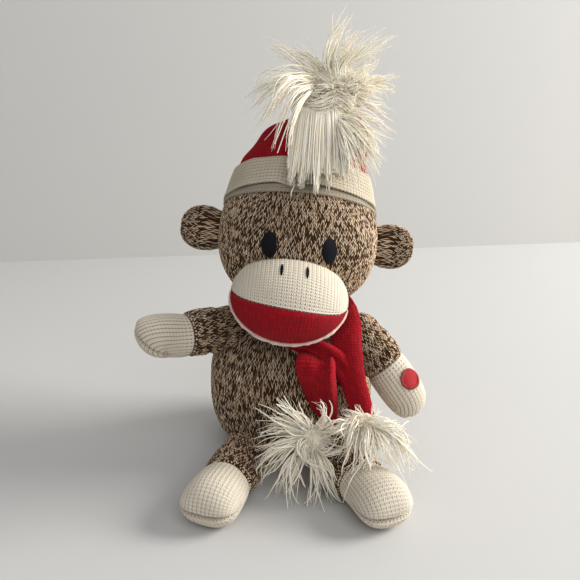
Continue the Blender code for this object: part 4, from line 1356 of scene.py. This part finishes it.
POM_LEFT_WISPS = (
    ((43, -72, 49), (48, -80, 53), (54, -81, 53), (61, -78, 48)),
    ((44, -72, 50), (52, -80, 52), (63, -81, 42), (74, -78, 20)),
    ((43, -72, 48), (49, -80, 44), (56, -81, 33), (62, -80, 22)),
    ((42, -72, 49), (40, -82, 43), (39, -86, 32), (36, -84, 17)),
    ((40, -72, 50), (35, -80, 46), (32, -81, 36), (29, -78, 24)),
    ((45, -72, 47), (54, -80, 49), (63, -81, 45), (71, -78, 38)),
    ((39, -72, 52), (34, -80, 52), (32, -81, 45), (33, -78, 36)),
    ((44, -72, 46), (46, -84, 41), (47, -88, 34), (45, -88, 25)),
    ((46, -72, 48), (56, -80, 47), (64, -81, 37), (70, -80, 26)),
    ((38, -72, 48), (31, -80, 51), (27, -81, 48), (25, -78, 40)),
    ((44, -72, 50), (50, -84, 46), (54, -88, 36), (54, -88, 28)),
    ((42, -72, 50), (44, -82, 50), (42, -88, 42), (46, -90, 34)),
)
TASSEL_WISPS = (
    ((15, -2, 240), (0, -12, 241), (-13, -16, 238), (-21, -18, 233)),
    ((15, -4, 239), (0, -16, 238), (-13, -20, 231), (-23, -22, 220)),
    ((15, -6, 238), (0, -20, 233), (-10, -26, 224), (-19, -28, 208)),
    ((14, -8, 235), (3, -24, 230), (-4, -32, 219), (-11, -36, 201)),
    ((13, -12, 232), (6, -28, 226), (1, -36, 216), (-3, -40, 199)),
    ((12, 0, 236), (-1, 6, 238), (-15, 12, 235), (-25, 16, 226)),
    ((14, -6, 237), (2, -20, 238), (-6, -28, 232), (-14, -32, 214)),
    ((19, 0, 237), (7, -2, 246), (-2, -2, 252), (-13, 0, 257)),
    ((22, 2, 239), (13, 0, 249), (6, 0, 254), (0, 2, 255)),
    ((24, 0, 236), (21, -4, 248), (24, -4, 258), (35, 0, 273)),
    ((25, 2, 236), (24, 0, 249), (27, 0, 260), (30, 2, 271)),
    ((26, 0, 236), (27, -4, 248), (33, -4, 258), (40, 0, 266)),
    ((27, 0, 236), (32, -4, 248), (42, -4, 258), (54, 0, 266)),
    ((29, 2, 235), (35, 0, 245), (47, 0, 254), (61, 4, 263)),
    ((27, 0, 237), (33, 0, 251), (36, 2, 260), (48, 4, 266)),
    ((36, 0, 235), (43, 0, 237), (53, 2, 239), (63, 4, 241)),
    ((36, 2, 234), (44, 0, 237), (54, 2, 236), (64, 4, 232)),
    ((33, 0, 236), (45, 4, 243), (50, 6, 249), (48, 6, 253)),
    ((32, -12, 220), (41, -18, 219), (51, -20, 215), (60, -20, 208)),
    ((32, -14, 217), (39, -22, 215), (48, -26, 208), (56, -28, 201)),
    ((30, -16, 216), (38, -26, 210), (45, -32, 202), (54, -34, 194)),
    ((29, -18, 215), (34, -30, 209), (41, -36, 198), (47, -40, 188)),
    ((33, -6, 222), (43, -4, 224), (52, -2, 221), (60, 0, 215)),
    ((28, -18, 214), (34, -30, 206), (40, -38, 195), (44, -42, 184)),
    ((27, -19, 213), (30, -32, 203), (34, -41, 191), (37, -45, 180)),
    ((30, -17, 215), (38, -27, 208), (46, -35, 197), (51, -38, 187)),
    ((28, -18, 216), (35, -26, 211), (40, -33, 203), (43, -37, 193)),
    ((27, -20, 212), (31, -30, 205), (35, -38, 196), (38, -42, 186)),
    ((29, -16, 218), (37, -22, 214), (44, -29, 205), (48, -33, 195)),
    ((26, -20, 211), (29, -32, 203), (31, -40, 193), (33, -44, 182)),
    ((30, -14, 219), (39, -19, 215), (46, -25, 207), (51, -29, 198)),
    ((24, 10, 238), (20, 22, 240), (14, 32, 234), (10, 38, 222)),
    ((30, 10, 236), (36, 22, 236), (42, 32, 230), (46, 38, 218)),
    ((27, 12, 232), (28, 24, 228), (28, 32, 218), (26, 36, 206)),
    ((20, 8, 236), (8, 16, 238), (-2, 24, 232), (-8, 30, 220)),
)


def yarn_core(name, form, ridges, rows, depth, body):
    """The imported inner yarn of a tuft: a form raised into long ridges, each a lock of strands."""
    mesh, across, up = flat_grid(name, ridges * 4, rows)
    draw = np.random.default_rng(ridges)
    wave = np.interp(across * ridges, np.arange(ridges + 1), draw.uniform(0, 6.28, ridges + 1))
    shift = 0.25 * np.sin(up * 5 + wave) / ridges
    points = form((across + shift) % 1.0, up)
    outward = outward_of(form, across, up)
    if (outward * (points - points.mean(0))).sum() < 0:
        outward = -outward
    ridge = np.abs(np.sin(pi * across * ridges)) ** 0.7 * (0.6 + 0.4 * np.sin(wave + up * 3))
    points = points + outward * (depth * ridge)[:, None]
    mesh.vertices.foreach_set("co", points.ravel())
    map_points(mesh, "OFBake", across, up)
    close_up(mesh)
    bm = bmesh.new()
    bm.from_mesh(mesh)
    bmesh.ops.recalc_face_normals(bm, faces=bm.faces)
    bm.to_mesh(mesh)
    bm.free()
    return finished(name, mesh, "cream_yarn", body)


def ball_form(centre, half, twist=0.0):
    def form(across, up):
        turn = 2 * pi * across + twist * up
        rise = (up - 0.5) * pi
        return np.array(centre) + np.stack([
            half[0] * np.cos(rise) * np.sin(turn), -half[1] * np.cos(rise) * np.cos(turn),
            half[2] * np.sin(rise)], 1)

    return form


def wisps(guides, each, spread, wander):
    """Strands that wave along listed lines in millimetres, and draw together at their tips."""
    share = np.linspace(0, 1, 11)
    lines = []
    for guide in guides:
        route = Route(np.array(guide) * 0.001)
        for _ in range(each):
            reach = RANDOM.uniform(0.62, 1.04)
            start = RANDOM.uniform(0, 0.12)
            line = route.at(np.clip(start + share * (reach - start), 0, 1))
            offset = RANDOM.normal(size=3) * spread
            wave = RANDOM.normal(size=3) * wander
            bend = RANDOM.normal(size=3) * wander * 1.6
            turns = RANDOM.uniform(2.0, 5.5)
            line = line + np.outer(0.45 + np.sin(share * pi * 0.75) - 0.5 * share ** 3, offset)
            line = line + np.outer(share * np.sin(share * turns + RANDOM.uniform(0, 6)), wave)
            line = line + np.outer(share ** 2, bend)
            line[:, 2] = np.maximum(line[:, 2], 0.0008)
            lines.append(line)
    return lines


def fluff(root, count, reach, flatten, keep_off=()):
    """Short curly strands that fill the heart of a pom."""
    ways = unit(RANDOM.normal(size=(count, 3)) * flatten)
    roots = np.array(root) + RANDOM.normal(size=(count, 3)) * 0.0022
    return list(tufts(roots, ways, reach * RANDOM.uniform(0.5, 1.1, count), 4, 0.0010, 0.10, 0.9, steps=8,
                      keep_off=keep_off, tip_close=0.8))


def make_poms():
    """Long loose yarn at the ends of the scarf, over the legs and the table."""
    leg_balls = []
    for side in ("right", "left"):
        hip = np.array(JOINTS["hip_" + side]["pos_m"])
        mesh = frame["nodes"]["foot_" + side].data
        end = hip + (points_of(mesh).mean(0) - hip) * 1.1
        leg_balls += [(hip + (end - hip) * share, 0.0182) for share in np.linspace(0, 1, 9)]
    leg_balls.append(((0, 0, 0.042), 0.0535))
    for side, root, guides in (("right", (0.0130, -0.0665, 0.0350), POM_RIGHT_WISPS),
                               ("left", (0.0430, -0.0715, 0.0455), POM_LEFT_WISPS)):
        yarn_core("pom_" + side + "_heart", ball_form(root, (0.0070, 0.0060, 0.0070), 2.0), 26, 24, 0.0015,
                  "tail_" + side)
        thick = wisps(guides, 7, 0.0016, 0.0021)
        fine = wisps(guides, 13, 0.0010, 0.0010) + fluff(root, 190, 0.013, (1.0, 0.9, 0.9), leg_balls)
        strands_piece("pom_" + side + "_yarn", kept_off(thick, leg_balls), STRAND * 1.25, "cream_yarn",
                      "tail_" + side, taper=0.55, nodes=("pom_" + side,))
        strands_piece("pom_" + side + "_fluff", kept_off(fine, leg_balls), STRAND * 0.66, "cream_yarn",
                      "tail_" + side, taper=0.75)


def kept_off(lines, balls):
    """The strands moved out of the balls, and off the table."""
    kept = []
    for line in lines:
        line = np.array(line)
        for centre, radius in balls:
            line = push_out(line, centre, radius)
        line[:, 2] = np.maximum(line[:, 2], YARN_FLOOR)
        kept.append(line)
    return kept


# Stage: a pale table and wall, soft light from the right


def make_stage():
    for name, half, place, turn, colour in (
            ("table_top", 1.5, (0, 0.9, 0), (0, 0, 0), (0.596, 0.594, 0.584, 1)),
            ("wall", 3.0, (0, 0.505, 1.0), (radians(90), 0, radians(7.7)), (0.608, 0.604, 0.582, 1))):
        bm = bmesh.new()
        bmesh.ops.create_grid(bm, x_segments=1, y_segments=1, size=half)
        matrix = Matrix.Translation(place) @ Matrix.Rotation(turn[2], 4, "Z") @ Matrix.Rotation(turn[0], 4, "X")
        bmesh.ops.transform(bm, matrix=matrix, verts=bm.verts)
        mesh = bpy.data.meshes.new(name)
        bm.to_mesh(mesh)
        bm.free()
        mesh.materials.append(paint_finish(name + "_paint", colour))
        piece = bpy.data.objects.new(name, mesh)
        bpy.context.scene.collection.objects.link(piece)


def make_light(name, place, target, size, power, colour):
    data = bpy.data.lights.new(name, "AREA")
    data.shape = "SQUARE"
    data.size = size
    data.energy = power
    data.color = colour
    light = bpy.data.objects.new(name, data)
    light.location = place
    light.rotation_euler = (Vector(target) - Vector(place)).to_track_quat("-Z", "Y").to_euler()
    bpy.context.scene.collection.objects.link(light)


def make_view():
    data = bpy.data.cameras.new("camera")
    data.lens = 43.45
    data.sensor_width = 36.0
    camera = bpy.data.objects.new("camera", data)
    camera.location = (0, -0.4348, 0.245)
    camera.rotation_euler = (radians(90 - 17.7), 0, 0)
    bpy.context.scene.collection.objects.link(camera)
    bpy.context.scene.camera = camera
    world = bpy.data.worlds.new("daylight")
    world.use_nodes = True
    world.node_tree.nodes["Background"].inputs[0].default_value = (0.97, 0.98, 1.0, 1)
    world.node_tree.nodes["Background"].inputs[1].default_value = 0.37
    bpy.context.scene.world = world
    make_light("window", (1.82, 0.10, 1.08), (0, 0, 0.12), 0.95, 51.0, (1.0, 0.97, 0.93))
    make_light("room", (0.5, -1.3, 1.3), (0, 0, 0.12), 1.4, 10.5, (0.99, 0.99, 1.0))
    bpy.context.scene.view_settings.view_transform = "Standard"


for node, material_slot in ((node, "stuffing") for node in frame["nodes"] if "stuffing" in node):
    for holder in frame["nodes"][node].material_slots:
        holder.material = FINISHES[material_slot]

make_body()
make_head()
make_muzzle()
make_face()
make_ears()
make_cuff()
make_crown()
make_tassel()
make_arms()
make_legs()
make_patch()
make_scarf()
make_poms()
make_stage()
make_view()
